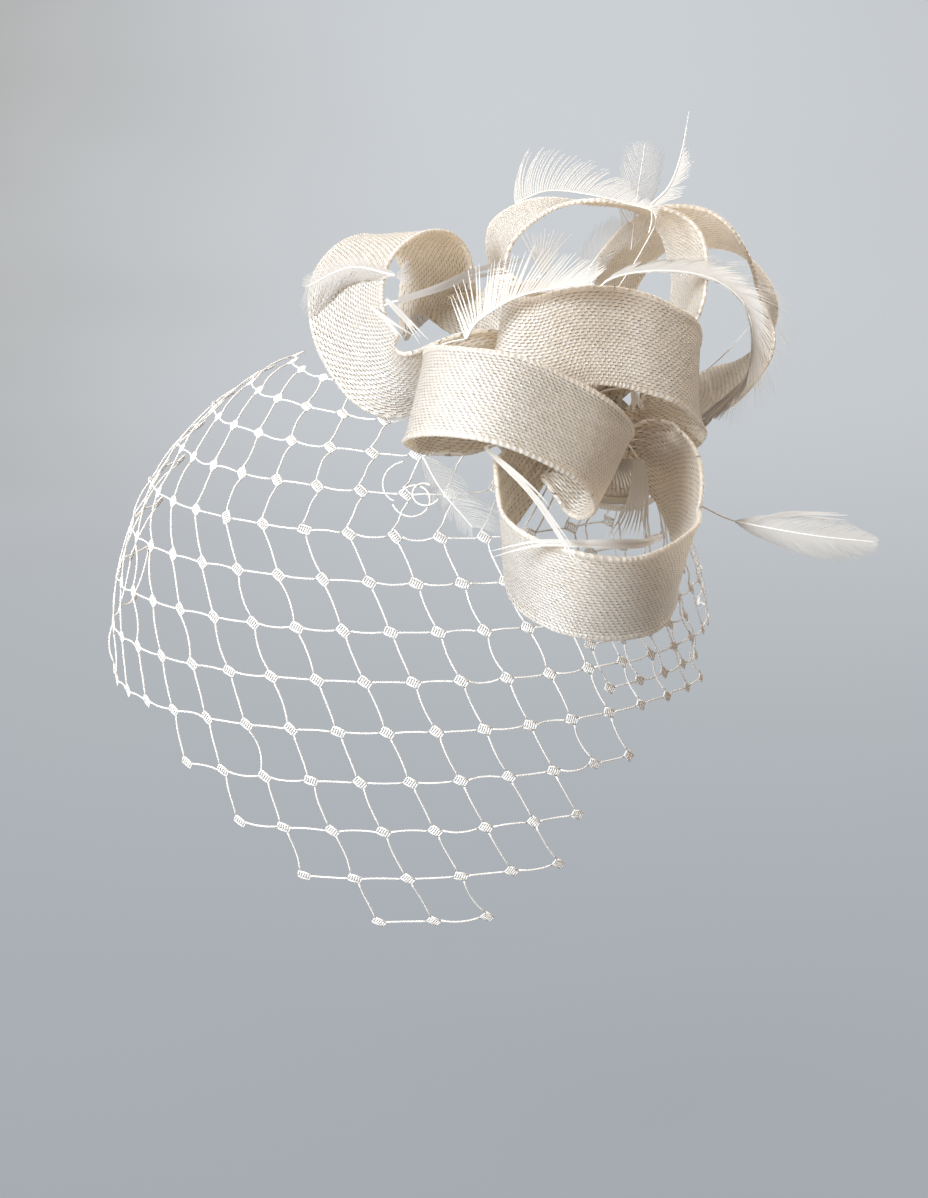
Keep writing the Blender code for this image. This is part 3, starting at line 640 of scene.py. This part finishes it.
def flag_vane(ribbons, path, across, rng, **shape):
    """A long rounded vane past a bare stem, with one thin lock parted from it along the top."""
    vane(ribbons, path, across, rng, **shape)
    root, end = (np.asarray(path[k], float) for k in (3, 5))
    up = np.array((0.0, 2.5, 5.5))
    lock = [root + (end - root) * s + up * rise for s, rise in ((0, 0), (0.3, 0.9), (0.8, 1.3))]
    splayed(ribbons, lock, across, rng, 4, 0.9, 0.8, 0.4)


# Each point of the split biot: the share of its length, how far aside it stands and its width.
SPLIT_BIOT_POINTS = (
    (1.0, 0.7, 1.7), (0.97, -0.5, 1.5), (0.86, 1.9, 1.2),
    (0.8, 0.2, 1.3), (0.62, 2.6, 1.2), (0.55, -1.0, 1.1),
)


def split_biot(ribbons, path, across, rng):
    """A stiff white biot feather that parts into long points at three lengths."""
    side = unit(np.asarray(across, float))
    curve, _, _ = evenly(smooth_curve(path, 10), 30)
    for share, apart, width in SPLIT_BIOT_POINTS:
        own = curve[: int(30 * share)]
        t = np.linspace(0, 1, len(own))
        own = own + side * (apart * t**1.3)[:, None] + rng.normal(0, 0.1, 3) + side * rng.normal(0, 0.25)
        blade(ribbons, own[:: len(own) // 8], across, width, 0.05, 0.25)


# Each feather: its stem's places, the direction across it, its shaft's first and last radius, the function
# that makes it, and that function's values.
FEATHERS = {
    "sweep": (
        ((7, -3, 7), (11, -7, 14), (11, 6, 37), (15, 10, 49), (32, 11, 53), (50, 11, 51), (62, 11, 43),
         (66, 10, 30), (63, 8, 16), (49, 2, 2)),
        (0.3, 0.4, 0.9), (0.5, 0.14), vane, dict(
            plus=((0.33, 0), (0.38, 3.5), (0.5, 5.5), (0.62, 6.5), (0.78, 6), (0.93, 2.5), (1, 1)),
            minus=((0.38, 0), (0.45, 1), (0.7, 1.5), (0.9, 2), (1, 1)),
            lean=(38, 14), last_lean=(30, -2), pitch=0.5, width=0.42, ragged=0.05, clumps=30, splay=2,
            gather=0.6, cup=0.03,
        ),
    ),
    "crest": (
        ((4, -3, 9), (8, -7, 16), (14, 14, 36), (28, 18, 59), (33, 21, 71), (22, 24, 75), (9, 25, 78),
         (-4, 25, 79), (-15, 24, 75)),
        (0.0, 0.3, 1.0), (0.22, 0.22), vane, dict(
            plus=((0.6, 0), (0.66, 3), (0.76, 7), (0.87, 11), (0.95, 14), (1, 16)),
            minus=((0, 0),),
            lean=(160, 168), last_lean=(96, 138), pitch=0.75, width=0.5, ragged=0.06, clumps=30, splay=2.5,
            gather=0.3, cup=0.02,
        ),
    ),
    "upright": (
        ((31, 16, 75), (37, 17, 81), (41, 19, 91), (44, 23, 106)), (1.0, 0.0, 0.2), (0.45, 0.08), vane, dict(
            plus=((0, 4), (0.15, 5), (0.35, 4.5), (0.5, 2.5), (0.62, 0.6), (1, 0.2)),
            minus=((0, 0.5), (0.5, 0.3), (1, 0.2)),
            lean=(58, 30), last_lean=(30, 12), pitch=0.5, width=0.34, ragged=0.1, clumps=16, splay=4,
            gather=0.7,
        ),
    ),
    "back_leaf": (
        ((27, 59, 56), (29, 64, 73), (32, 68, 93)), (1.0, 0.0, 0.1), (0.3, 0.1), vane, dict(
            plus=((0, 4), (0.15, 7), (0.5, 8.5), (0.8, 7), (0.93, 4), (1, 1)),
            minus=((0, 4), (0.15, 7), (0.5, 8), (0.8, 7), (0.93, 4), (1, 1)),
            lean=(54, 16), pitch=0.6, width=0.2, ragged=0.02, cup=0.05, within=True,
        ),
    ),
    "inner_leaf": (
        ((6, 47, 39), (13, 52, 52), (24, 56, 65)), (0.7, -0.1, -0.7), (0.3, 0.1), vane, dict(
            plus=((0, 3), (0.2, 6), (0.5, 7), (0.8, 5), (1, 1)),
            lean=(52, 16), pitch=0.6, width=0.2, ragged=0.03, cup=0.04, within=True,
        ),
    ),
    "left_leaf": (
        ((-55, -27, 55), (-70, -20, 57), (-85, -14, 50)), (0.0, -0.35, 1.0), (0.4, 0.12), left_leaf, dict(
            plus=((0, 1.5), (0.12, 2.5), (0.35, 3.5), (0.65, 4), (0.85, 3.5), (1, 1)),
            minus=((0, 1), (0.12, 4), (0.3, 9), (0.6, 12), (0.8, 11), (0.92, 8), (1, 5)),
            lean=(56, 30), pitch=0.42, width=0.24, ragged=0.015, cup=0.04,
        ),
    ),
    "curled_quill": (
        ((-54, -29, 47), (-40, -24, 51), (-27, -13, 55), (-10, 0, 57)), (0.0, 0.2, 1.0), None,
        splayed, dict(count=4, width=1.2, spread=1.5, first=0.3),
    ),
    "back_fan": (
        ((-5, 5, 53), (-6, 7, 60), (-5, 8, 68)), (1.0, 0.0, 0.0), None,
        splayed, dict(count=13, width=0.7, spread=6.5, first=0.05, tip=0.2),
    ),
    "left_spike_long": (
        ((-58, -33, 48), (-51, -34, 41), (-45, -36, 34)), (0.7, 0.1, 0.7), None,
        splayed, dict(count=3, width=1.0, spread=1.2, first=0.3),
    ),
    "left_spike_short": (
        ((-63, -29, 45), (-56, -34, 40), (-50, -36, 35)), (0.7, 0.1, 0.7), None,
        splayed, dict(count=2, width=1.1, spread=0.9, first=0.3),
    ),
    "front_fan": (
        ((-32, -59, 38), (-28, -60, 44), (-17, -61, 51), (-5, -60, 54), (7, -60, 56)),
        (0.0, 0.1, 1.0), (0.5, 0.12), vane, dict(
            plus=((0, 11), (0.1, 13), (0.3, 13), (0.6, 10), (0.85, 6), (1, 3)),
            minus=((0.3, 0), (0.7, 0.8), (1, 1)),
            lean=(54, 60), last_lean=(34, 20), pitch=1.0, width=0.66, ragged=0.05, clumps=16, splay=2,
            gather=0.2,
        ),
    ),
    "thin_quill": (
        ((52, 32, 16), (60, 34, 23), (68, 35, 31)), (0.7, 0.1, 0.7), None,
        splayed, dict(count=2, width=0.8, spread=0.5, first=0.5),
    ),
    "face_leaf": (
        ((-46, -44, -2), (-40, -55, -11), (-30, -62, -22)), (0.8, -0.1, 0.6), (0.35, 0.1), vane, dict(
            plus=((0, 5), (0.12, 9), (0.3, 10), (0.46, 8), (0.52, 10), (0.72, 11), (0.9, 9), (1, 5)),
            minus=((0, 2), (0.2, 4), (0.5, 4), (0.8, 4), (1, 2.5)),
            lean=(50, 22), pitch=0.5, width=0.21, ragged=0.03, clumps=5, splay=3, gather=0.3, cup=0.04,
        ),
    ),
    "split_biot": (
        ((-26, -76, 6), (-12, -98, -5), (0, -123, -20), (5, -124, -28)), (0.8, 0.1, 0.6), None,
        split_biot, {},
    ),
    "level_biot": (
        ((30, -78, -22), (22, -96, -21), (12, -108, -19), (1, -113, -18), (-16, -112, -18), (-32, -107, -23)),
        (0.0, 0.2, 1.0), None, splayed, dict(count=2, width=2.2, spread=0.3, first=0.7, tip=0.03),
    ),
    "hanging_strand": (
        ((25, -32, -5), (25, -38, -13), (23, -46, -22), (20, -51, -30)), (1.0, 0.0, 0.0), None,
        splayed, dict(count=9, width=1.0, spread=5.0, first=0.1),
    ),
    "inner_strand": (
        ((23, -27, 18), (24, -28, 14), (24, -29, 10)), (1.0, 0.0, 0.0), None,
        splayed, dict(count=5, width=0.8, spread=2.0, first=0.0),
    ),
    "flag": (
        ((34, -10, -18), (45, -18, -22), (54, -29, -25), (62, -36, -26), (82, -45, -28), (101, -51, -29)),
        (0.1, 0.4, 0.9), (0.35, 0.12), flag_vane, dict(
            plus=((0.4, 0), (0.44, 4), (0.55, 6.5), (0.7, 7), (0.8, 5), (0.9, 3), (1, 1)),
            minus=((0.4, 0), (0.44, 4), (0.55, 7.5), (0.7, 8.5), (0.8, 7), (0.9, 4.5), (1, 1.5)),
            lean=(46, 16), pitch=0.34, width=0.28, ragged=0.015, cup=0.03, within=True,
        ),
    ),
}
# The feathers given the softer barb finish with painted shade.
SOFT_SHADED_FEATHER_NAMES = ("flag", "left_leaf", "face_leaf", "back_leaf", "inner_leaf", "back_fan", "curled_quill")
MOVING_FEATHERS = {"upright": "upright_feather", "flag": "flag_feather"}
SHAFT_SIDES = 7

# Bare stems from the roots of feathers that stand clear, each to what it is tied or sewn to.
STEM_RADIUS = 0.3
STEMS = (
    ((31, 16, 75), (31.5, 18, 70), (30.6, 19.2, 65)),
    ((52, 32, 16), (54, 35, 10), (55.3, 36.7, 4)),
    ((-32, -59, 38), (-38, -61.5, 37), (-42.3, -62.9, 35.2)),
    ((-5, 5, 53), (-9, 3.2, 50.5), (-11.7, 2.3, 48.5)),
    ((6, 47, 39), (6, 48, 37), (6, 48.9, 35)),
    ((-55, -27, 55), (-57.2, -24.5, 54.6), (-58.8, -22.2, 53.5)),
    ((-54, -29, 47), (-56.4, -28, 46.4), (-58.6, -26.8, 45.2)),
    ((-46, -44, -2), (-34, -38, 3), (-22, -29, 6.6)),
    ((-26, -76, 6), (-18, -56, 5), (-14.5, -32, -0.5)),
    ((25, -32, -5), (17, -19, 5), (7.5, -6, 11.5)),
    ((23, -27, 18), (16, -16, 16), (7.5, -6, 11.5)),
    ((34, -10, -18), (31, -9, -16.8), (27, -7.2, -14)),
)


def feather_piece(name, seed):
    """One feather: its barbs or blades as a piece, and its shaft as another, both on the same body."""
    path, across, radii, make, shape = FEATHERS[name]
    ribbons = Ribbons(3)
    make(ribbons, path, across, np.random.default_rng(seed), **shape)
    # Feathers in shade get the barb finish with painted shade.
    pieces = [ribbons.piece("plume_" + name, SOFT_SHADED_FEATHER if name in SOFT_SHADED_FEATHER_NAMES else FEATHER)]
    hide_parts("feather_" + name)
    if radii:
        tubes = Tubes(SHAFT_SIDES)
        tubes.add(evenly(smooth_curve(path, 12), 60)[0], np.linspace(*radii, 60))
        pieces.append(tubes.piece("shaft_" + name, QUILL))
    for made in pieces:
        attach(made, MOVING_FEATHERS.get(name, "root"))


def make_stems():
    tubes = Tubes(SHAFT_SIDES)
    for path in STEMS:
        tubes.add(evenly(smooth_curve(path, 8), 16)[0], STEM_RADIUS)
    made = tubes.piece("feather_stems", QUILL)
    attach(made, "root")


HEAD_RADIUS = 92.0
HEAD_DROP = 117.0
HEAD_CENTRE = -HEAD_RADIUS * BASE_NORMAL
VEIL_STAND_OFF = 3.0
VEIL_FLARE_FROM = 60.0
VEIL_FLARE = 0.17
VEIL_MOST_OFF = 29.0
VEIL_RISE_AT_BASE = 6.0
VEIL_RISE_OVER = 22.0
NET_PITCH = 16.5
NET_FIRST_ROW = math.radians(27.5)
NET_ROW_STEP = math.radians(9.1)
NET_ROWS = 13
NET_COLUMNS = range(-14, 20)
NET_LEAN_ROW = 4.0
NET_LEAN_BACK = 3.6
NET_LEAN_FORWARD = 7.8
NET_START = -45.0
NET_ROUND = 104.0
NET_ROUND_MORE = 4.0
NET_ROUND_LEAST = 30.0
NET_CLEAR_OF_BASE = 41.0
NET_BASE_DEPTH = -20.0
NET_CROWN_ENDS = 44.0
NET_HUNG_WITHIN = 62.0
EDGE_SLACK = 9.0
VEIL_EDGE = ((-118, -72), (-95, -80), (-57, -95), (-27, -140), (2, -163), (30, -138), (52, -84), (104, -75))
HEADING_REACH = 39.6
HEADING_HEIGHT = 3.4
HEADING_ANGLES = (151, 319)
THREAD_RADIUS = 0.3
KNOT_LONG = 2.1
KNOT_SHORT = 1.3
KNOT_TURN = math.radians(32)
KNOT_RUNGS = 6
RUNG_RADIUS = 0.27
HANGER_SPREAD = 1.6

# The second layer, gathered at the right: how far its columns and rows are moved, and how far in it lies.
GATHER_SHIFT = (0.42, 0.55)
GATHER_DEPTH = -2.2

# Cut ends of the net that curl by the front loop: centre, size, first angle and turn.
CURLS = (((-49, -59, -14), 4.6, 40, 300), ((-45, -59, -12), 3.4, 120, -270), ((-52, -58, -10), 5.5, -60, 150))
CURL_POINTS = 26


def head_reach(direction):
    drop = HEAD_RADIUS if direction.z > 0 else HEAD_DROP
    across = direction.x**2 + direction.y**2
    return 1 / math.sqrt(across / HEAD_RADIUS**2 + direction.z**2 / drop**2)


def head_turn(place):
    """How far round the head the place is, in degrees from the front."""
    from_head = place - HEAD_CENTRE
    return math.degrees(math.atan2(from_head.x, -from_head.y))


def net_place(column, row, out=0.0):
    """A place on the net, whole numbers being knots. It stands further off the head away from the base."""
    polar = NET_FIRST_ROW + NET_ROW_STEP * row
    lean = -NET_LEAN_BACK * min(row, NET_LEAN_ROW) + NET_LEAN_FORWARD * max(row - NET_LEAN_ROW, 0.0)
    radius = max(NET_ROUND_LEAST, NET_ROUND * math.sin(polar) + NET_ROUND_MORE)
    turn = (NET_PITCH * column + NET_START + lean) / radius
    direction = Vector((
        math.sin(polar) * math.sin(turn),
        -math.sin(polar) * math.cos(turn),
        math.cos(polar),
    )).normalized()
    reach = head_reach(direction)
    away = (HEAD_CENTRE + direction * reach).length - VEIL_FLARE_FROM
    rise = VEIL_FLARE * max(0.0, away) + VEIL_RISE_AT_BASE * max(0.0, -away / VEIL_RISE_OVER)
    return HEAD_CENTRE + direction * (reach + min(VEIL_STAND_OFF + rise, VEIL_MOST_OFF) + out)


def in_veil(place, row):
    """Whether the net reaches this place: clear of the base, and above the veil's pointed lower edge."""
    turn = head_turn(place)
    along = place.dot(BASE_NORMAL)
    if (place - BASE_NORMAL * along).length < NET_CLEAR_OF_BASE and along > NET_BASE_DEPTH:
        return False
    if row <= NET_LEAN_ROW and turn > NET_CROWN_ENDS:
        return False
    for (turn_a, low_a), (turn_b, low_b) in zip(VEIL_EDGE, VEIL_EDGE[1:]):
        if turn_a <= turn <= turn_b:
            share = (turn - turn_a) / (turn_b - turn_a)
            return place.z > low_a + (low_b - low_a) * share - EDGE_SLACK
    return False


def gathered(place, row):
    """Whether the second layer reaches this place, below the lower loop."""
    turn = head_turn(place)
    return 30 < turn < 78 and 3.5 < row < 8.2 and place.z > -95 + 0.2 * (60 - turn)


def knot_frame(column, row, out):
    """The knot's middle, its long and short directions and the way out from the head."""
    middle = np.array(net_place(column, row, out))
    right = unit(np.array(net_place(column + 0.05, row, out)) - middle)
    down = np.array(net_place(column, row + 0.05, out)) - middle
    outward = unit(np.cross(down, right))
    down = np.cross(right, outward)
    long = right * math.cos(KNOT_TURN) + down * math.sin(KNOT_TURN)
    short = -right * math.sin(KNOT_TURN) + down * math.cos(KNOT_TURN)
    return middle, long, short, outward


def add_thread(tubes, a, b, out, rng):
    """A thread of the net from knot a to its neighbour b, leaving each by its corner."""
    x, y = b[0] - a[0], b[1] - a[1]
    t = np.linspace(0, 1, 9)
    places = np.array([net_place(a[0] + x * s, a[1] + y * s, out) for s in t])
    for knot, way, near in ((a, 1, 1 - t), (b, -1, t)):
        _, long, short, _ = knot_frame(*knot, out)
        offset = long * way * (x + y) * KNOT_LONG + short * way * (y - x) * KNOT_SHORT
        pull = np.clip((near - 0.55) / 0.45, 0, 1)
        places += offset * (pull**1.3)[:, None]
    _, _, short, outward = knot_frame((a[0] + b[0]) / 2, (a[1] + b[1]) / 2, out)
    bow = np.sin(np.pi * t)
    places += outward * (bow * rng.normal(0, 0.7))[:, None] + short * (bow * rng.normal(0.1, 0.45))[:, None]
    tubes.add(places, THREAD_RADIUS)


def add_knot(tubes, knot, out, rng):
    """A knot: a small flat ladder of threads side by side between two rails."""
    middle, long, short, outward = knot_frame(*knot, out)
    lean = rng.normal(0, 0.12)
    cos, sin = math.cos(lean), math.sin(lean)
    long, short = long * cos + short * sin, short * cos - long * sin
    for share in np.linspace(-1, 1, KNOT_RUNGS):
        at = middle + long * share * KNOT_LONG
        reach = KNOT_SHORT * (1.0 - 0.1 * abs(share))
        tubes.add([at - short * reach, at + outward * 0.12, at + short * reach], RUNG_RADIUS)
    for side in (-1, 1):
        rail = []
        for share in (-1, 0, 1):
            reach = side * KNOT_SHORT * (1.0 - 0.1 * abs(share))
            rail.append(middle + long * share * KNOT_LONG + short * reach)
        tubes.add(rail, THREAD_RADIUS)


def net_layer(tubes, shift, out, wanted, rng):
    """One layer of the net. Its knots stand at whole columns and rows, moved by shift."""
    knots, threads = set(), set()
    for row in range(NET_ROWS):
        for column in NET_COLUMNS:
            corners = [(column, row), (column + 1, row), (column + 1, row + 1), (column, row + 1)]
            corners = [(c + shift[0], r + shift[1]) for c, r in corners]
            if all(wanted(net_place(*corner), corner[1]) for corner in corners):
                knots.update(corners)
                for a, b in ((0, 1), (3, 2), (0, 3), (1, 2)):
                    threads.add((corners[a], corners[b]))
    for a, b in sorted(threads):
        add_thread(tubes, a, b, out, rng)
    for knot in sorted(knots):
        add_knot(tubes, knot, out, rng)
    return knots


def heading_place(place):
    """The nearest place on the cord that gathers the veil's top edge."""
    local = BASE_TURN.transposed() @ Vector(place)
    angle = math.degrees(math.atan2(local.y, local.x)) % 360
    angle = math.radians(min(max(angle, HEADING_ANGLES[0]), HEADING_ANGLES[1]))
    return np.array(BASE_TURN @ Vector((
        HEADING_REACH * math.cos(angle), HEADING_REACH * math.sin(angle), HEADING_HEIGHT,
    )))


def hang_from_heading(tubes, knots):
    """Two threads from each knot of the net's top edge to the heading cord."""
    for knot in sorted(knots):
        place, long, short, outward = knot_frame(*knot, 0.0)
        if (knot[0], knot[1] - 1) in knots or np.linalg.norm(place) > NET_HUNG_WITHIN:
            continue
        end = heading_place(place)
        for side in (-1, 1):
            start = place + long * KNOT_LONG * side - short * KNOT_SHORT
            stop = heading_place(end + long * HANGER_SPREAD * side)
            t = np.linspace(0, 1, 8)[:, None]
            tubes.add(start + (stop - start) * t + outward * np.sin(np.pi * t) * 0.9, THREAD_RADIUS)


def add_curls(tubes):
    share = np.linspace(0, 1, CURL_POINTS)[:, None]
    for centre, size, start, turn in CURLS:
        middle = np.array(centre, float)
        outward = unit(middle - np.array(HEAD_CENTRE))
        right = unit(np.cross(outward, (0.0, 0.0, 1.0)))
        up = np.cross(right, outward)
        a = np.radians(start + turn * share)
        around = (right * np.cos(a) + up * np.sin(a)) * size * (1 + 0.45 * share)
        tubes.add(middle + around + outward * (0.5 + 2.2 * share), THREAD_RADIUS)


def make_veil():
    """The whole veil in one piece."""
    rng = np.random.default_rng(41)
    tubes = Tubes(6)
    hang_from_heading(tubes, net_layer(tubes, (0, 0), 0.0, in_veil, rng))
    net_layer(tubes, GATHER_SHIFT, GATHER_DEPTH, gathered, rng)
    add_curls(tubes)
    made = tubes.piece("veil_net", NET)
    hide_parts("veil_crown", "veil_front")
    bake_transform(made)


BASE_RADIUS = 35.0
DOME_RADIUS = 160.0
BASE_TOP = 8.5
BASE_THICKNESS = 2.0
LINING_THICKNESS = 0.6
LINING_RADIUS = 33.0
LINING_RINGS = 30
GAP = 0.3
BINDING_RADIUS = 1.2
BINDING_POINTS = 20
BINDING_STITCHES = 66
COLLAR = (6.0, 5.2, 7.0)
WRAP_TURNS = 9
WRAP_POINTS = 6
WRAP_DEPTH = 0.18
STITCHES = 44
STITCH_TURN = 0.055
STITCH_RADIUS = 0.16
STITCHED_AT = 32.4


def dome_height(r, top):
    return top - r * r / (2 * DOME_RADIUS)


def dome_profile(radius, rings, top, thickness):
    """The outline of a thin dome: out along its top and back along its underside."""
    radii = np.linspace(0.4, radius, rings)
    over = [(r, dome_height(r, top)) for r in radii]
    return over + [(r, dome_height(r, top - thickness)) for r in radii[::-1]]


def turned(name, profile, steps, finish, ripple=None):
    """A closed profile of (radius, height) pairs, turned about the base's axis.

    ripple gives a small move out and up for each angle and place.
    """
    profile = np.asarray(profile, float)
    angle = 2 * np.pi * np.arange(steps) / steps
    r, z = (profile[None, :, k] + np.zeros((steps, 1)) for k in (0, 1))
    if ripple is not None:
        move_r, move_z = ripple(angle[:, None], np.arange(len(profile))[None, :])
        r, z = r + move_r, z + move_z
    places = np.stack([r * np.cos(angle)[:, None], r * np.sin(angle)[:, None], z], -1)
    turn = np.linspace(0, 2 * np.pi, steps + 1) * max(profile[:, 0].max(), 1.0)
    faces = grid_faces(steps + 1, len(profile), closed=True)
    made = mesh_piece(name, np.vstack([places, places[:1]]), faces, finish, grid_uv(distances(profile), turn))
    seam = bmesh.new()
    seam.from_mesh(made.data)
    bmesh.ops.remove_doubles(seam, verts=seam.verts, dist=1e-7)
    seam.to_mesh(made.data)
    seam.free()
    return on_base(made)


def on_base(made):
    """Turns a piece made about its own Z onto the base's axis."""
    made.data.transform(BASE_TURN.to_4x4())
    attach(made, "root")
    return made


def make_base():
    disc = turned("base_shell", dome_profile(BASE_RADIUS, 40, BASE_TOP, BASE_THICKNESS), 128, SINAMAY)
    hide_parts("base_disc")


def make_lining():
    def puckers(angle, place):
        near = np.clip((np.minimum(place, 2 * LINING_RINGS - 1 - place) - 22) / 7, 0, 1)
        return 0 * angle * place, 0.16 * np.sin(angle * 40) * near

    outline = dome_profile(LINING_RADIUS, LINING_RINGS, BASE_TOP - BASE_THICKNESS - GAP, LINING_THICKNESS)
    lining = turned("lining_cloth_disc", outline, 240, LINING, puckers)
    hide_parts("base_lining")


def make_binding():
    """The strip round the base's edge, dented by its stitches."""
    def stitched(angle, place):
        a = 2 * np.pi * place / BINDING_POINTS
        dent = -0.13 * np.clip(np.cos(angle * BINDING_STITCHES), 0.3, 1) * np.clip(np.sin(a), 0, 1) ** 4
        slack = 0.06 * np.sin(angle * 23 + 2 * np.sin(a))
        return (dent + slack) * np.cos(a), (dent + slack) * np.sin(a)

    middle = dome_height(BASE_RADIUS, BASE_TOP) - BASE_THICKNESS / 2
    ring = []
    for k in range(BINDING_POINTS):
        a = 2 * math.pi * k / BINDING_POINTS
        out = BASE_RADIUS + GAP + BINDING_RADIUS * (1 + math.cos(a))
        ring.append((out, middle + BINDING_RADIUS * math.sin(a)))
    edge = turned("binding_strip", ring[::-1], 8 * BINDING_STITCHES, BINDING, stitched)
    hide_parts("base_binding")


def make_collar():
    """The thread wrapped round the feather stems."""
    outer, inner, height = COLLAR
    bottom = BASE_TOP + 0.5
    wraps = []
    for k in range(WRAP_TURNS * WRAP_POINTS + 1):
        out = outer - WRAP_DEPTH + WRAP_DEPTH * math.cos(2 * math.pi * k / WRAP_POINTS)
        wraps.append((out, bottom + height * k / (WRAP_TURNS * WRAP_POINTS)))
    collar = turned("collar_wrap", [(inner, bottom + height), *wraps[::-1], (inner, bottom)], 64, WRAP)
    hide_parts("feather_collar")


def make_stitches():
    """Short stitches through the base, just inside its binding."""
    tubes = Tubes(5)
    for k in range(STITCHES):
        run = []
        for s, rise in ((0, -0.1), (0.2, 0.22), (0.8, 0.22), (1, -0.1)):
            a = 2 * math.pi * (k + 0.3) / STITCHES + STITCH_TURN * s
            height = dome_height(STITCHED_AT, BASE_TOP) + rise
            run.append((STITCHED_AT * math.cos(a), STITCHED_AT * math.sin(a), height))
        tubes.add(run, STITCH_RADIUS)
    sewn = on_base(tubes.piece("base_stitches", THREAD))


def finish_carried_pieces():
    """The comb, its lashings and the veil's heading cord keep their CAD shape."""
    for node in ("hair_comb", "comb_lashing_left", "comb_lashing_right", "veil_heading"):
        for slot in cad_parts[node].material_slots:
            slot.material = COMB if node == "hair_comb" else CARRIED_THREAD


WALL_AT = 3.4
WALL_CURVE = 2.4
WALL_HALF_WIDTH = 9.0
WALL_TOP = 6.0
WALL_STEPS = 24
FLOOR_STARTS = -9.0
FAR_COLOUR = (0.46, 0.49, 0.515)
WORLD_COLOUR = (0.25, 0.166, 0.096)

# Each light: its place and what it points at in metres, its size, its power and its colour.
LIGHTS = {
    "key": ((-0.88, -1.12, 0.48), (-0.02, -0.02, 0.0), 0.5, 40.0, (0.86, 0.935, 1.0)),
    "fill": ((1.3, -0.9, 0.35), (0.0, 0.0, 0.0), 1.2, 1.6, (1.0, 0.74, 0.52)),
    "back": ((-0.2, 0.75, 1.15), (0.0, 0.0, 0.03), 0.8, 17.0, (1.0, 0.97, 0.93)),
    "back_right": ((0.75, 0.95, 0.5), (0.0, 0.0, 0.03), 0.8, 8.0, (1.0, 0.90, 0.76)),
}


def wall_material():
    """Painted light for the lit backdrop: a pale blue-grey glow, with painted shade warm and dark at the left
    and darker in front and to the right.
    """
    g = Graph("studio_wall")
    x, y, _ = g.node("SeparateXYZ", Vector=g.place()).outputs
    along = g.plus(x, g.times(g.noise(g.place(), 1.5), 0.35))
    # Painted shade in the wall's glow: dark at the left, dimmer further right and dark on the floor in front.
    colour = g.mix(g.ramp(along, -0.75, 0.15), (0.31, 0.30, 0.28), (0.585, 0.615, 0.645))
    colour = g.mix(g.ramp(along, 0.3, 1.2), colour, (0.45, 0.47, 0.49))
    colour = g.mix(g.times(g.noise(g.place(), 6.0, 3.0), 0.12), colour, (0.60, 0.63, 0.64))
    colour = g.mix(g.ramp(y, -0.8, 2.0), (0.30, 0.33, 0.365), colour)
    aside = g.ramp(g.math("ABSOLUTE", x), 1.0, 3.5)
    before = g.ramp(g.times(y, -1.0), 1.0, 3.5)
    colour = g.mix(g.math("MAXIMUM", aside, before), colour, FAR_COLOUR)
    return g.finish(
        (0.03, 0.03, 0.03), 1.0, Emission_Color=colour, Emission_Strength=1.0, Specular_IOR_Level=0.0,
    )


def make_wall():
    """A floor that curves up into a wall."""
    profile = [(FLOOR_STARTS, FLOOR_HEIGHT)]
    for k in range(WALL_STEPS + 1):
        a = math.pi / 2 * k / WALL_STEPS
        y = WALL_AT - WALL_CURVE * (1 - math.sin(a))
        profile.append((y, FLOOR_HEIGHT + WALL_CURVE * (1 - math.cos(a))))
    profile.append((WALL_AT, WALL_TOP))
    corners = [[(side * WALL_HALF_WIDTH, y, z) for side in (-1, 1)] for y, z in profile]
    faces = grid_faces(len(profile), 2)
    wall = mesh_piece("studio_floor_and_wall", np.array(corners) / MM, faces, wall_material())


def make_world():
    """Warm light from all round, which the camera sees as the far colour of the wall's painted glow."""
    world = bpy.data.worlds.new("studio")
    world.use_nodes = True
    tree = world.node_tree
    ray = tree.nodes.new("ShaderNodeLightPath")
    seen = tree.nodes.new("ShaderNodeMix")
    seen.data_type = "RGBA"
    seen.inputs[6].default_value = (*WORLD_COLOUR, 1.0)
    seen.inputs[7].default_value = (*FAR_COLOUR, 1.0)
    tree.links.new(ray.outputs["Is Camera Ray"], seen.inputs["Factor"])
    tree.links.new(seen.outputs[2], tree.nodes["Background"].inputs[0])
    bpy.context.scene.world = world


def make_lights():
    for name, (place, target, size, power, colour) in LIGHTS.items():
        data = bpy.data.lights.new(name, "AREA")
        data.shape = "DISK"
        data.size = size
        data.energy = power
        data.color = colour
        lamp = bpy.data.objects.new(name, data)
        lamp.location = place
        lamp.rotation_euler = (Vector(target) - Vector(place)).to_track_quat("-Z", "Y").to_euler()
        bpy.context.scene.collection.objects.link(lamp)


def make_camera():
    data = bpy.data.cameras.new("camera")
    data.sensor_width = 36.0
    data.lens = 84.85
    camera = bpy.data.objects.new("camera", data)
    camera.location = (-0.0326, -0.951, 0.1434)
    camera.rotation_euler = (math.radians(78), 0, 0)
    bpy.context.scene.collection.objects.link(camera)
    bpy.context.scene.camera = camera
    bpy.context.scene.view_settings.view_transform = "Standard"


make_wall()
make_world()
make_lights()
make_camera()
for number, (loop_name, loop_stations) in enumerate(LOOPS.items()):
    loop_piece(loop_name, loop_stations, 100 + number)
for number, feather_name in enumerate(FEATHERS):
    feather_piece(feather_name, 3 + 2 * number)
make_stems()
make_veil()
make_base()
make_lining()
make_binding()
make_collar()
make_stitches()
finish_carried_pieces()
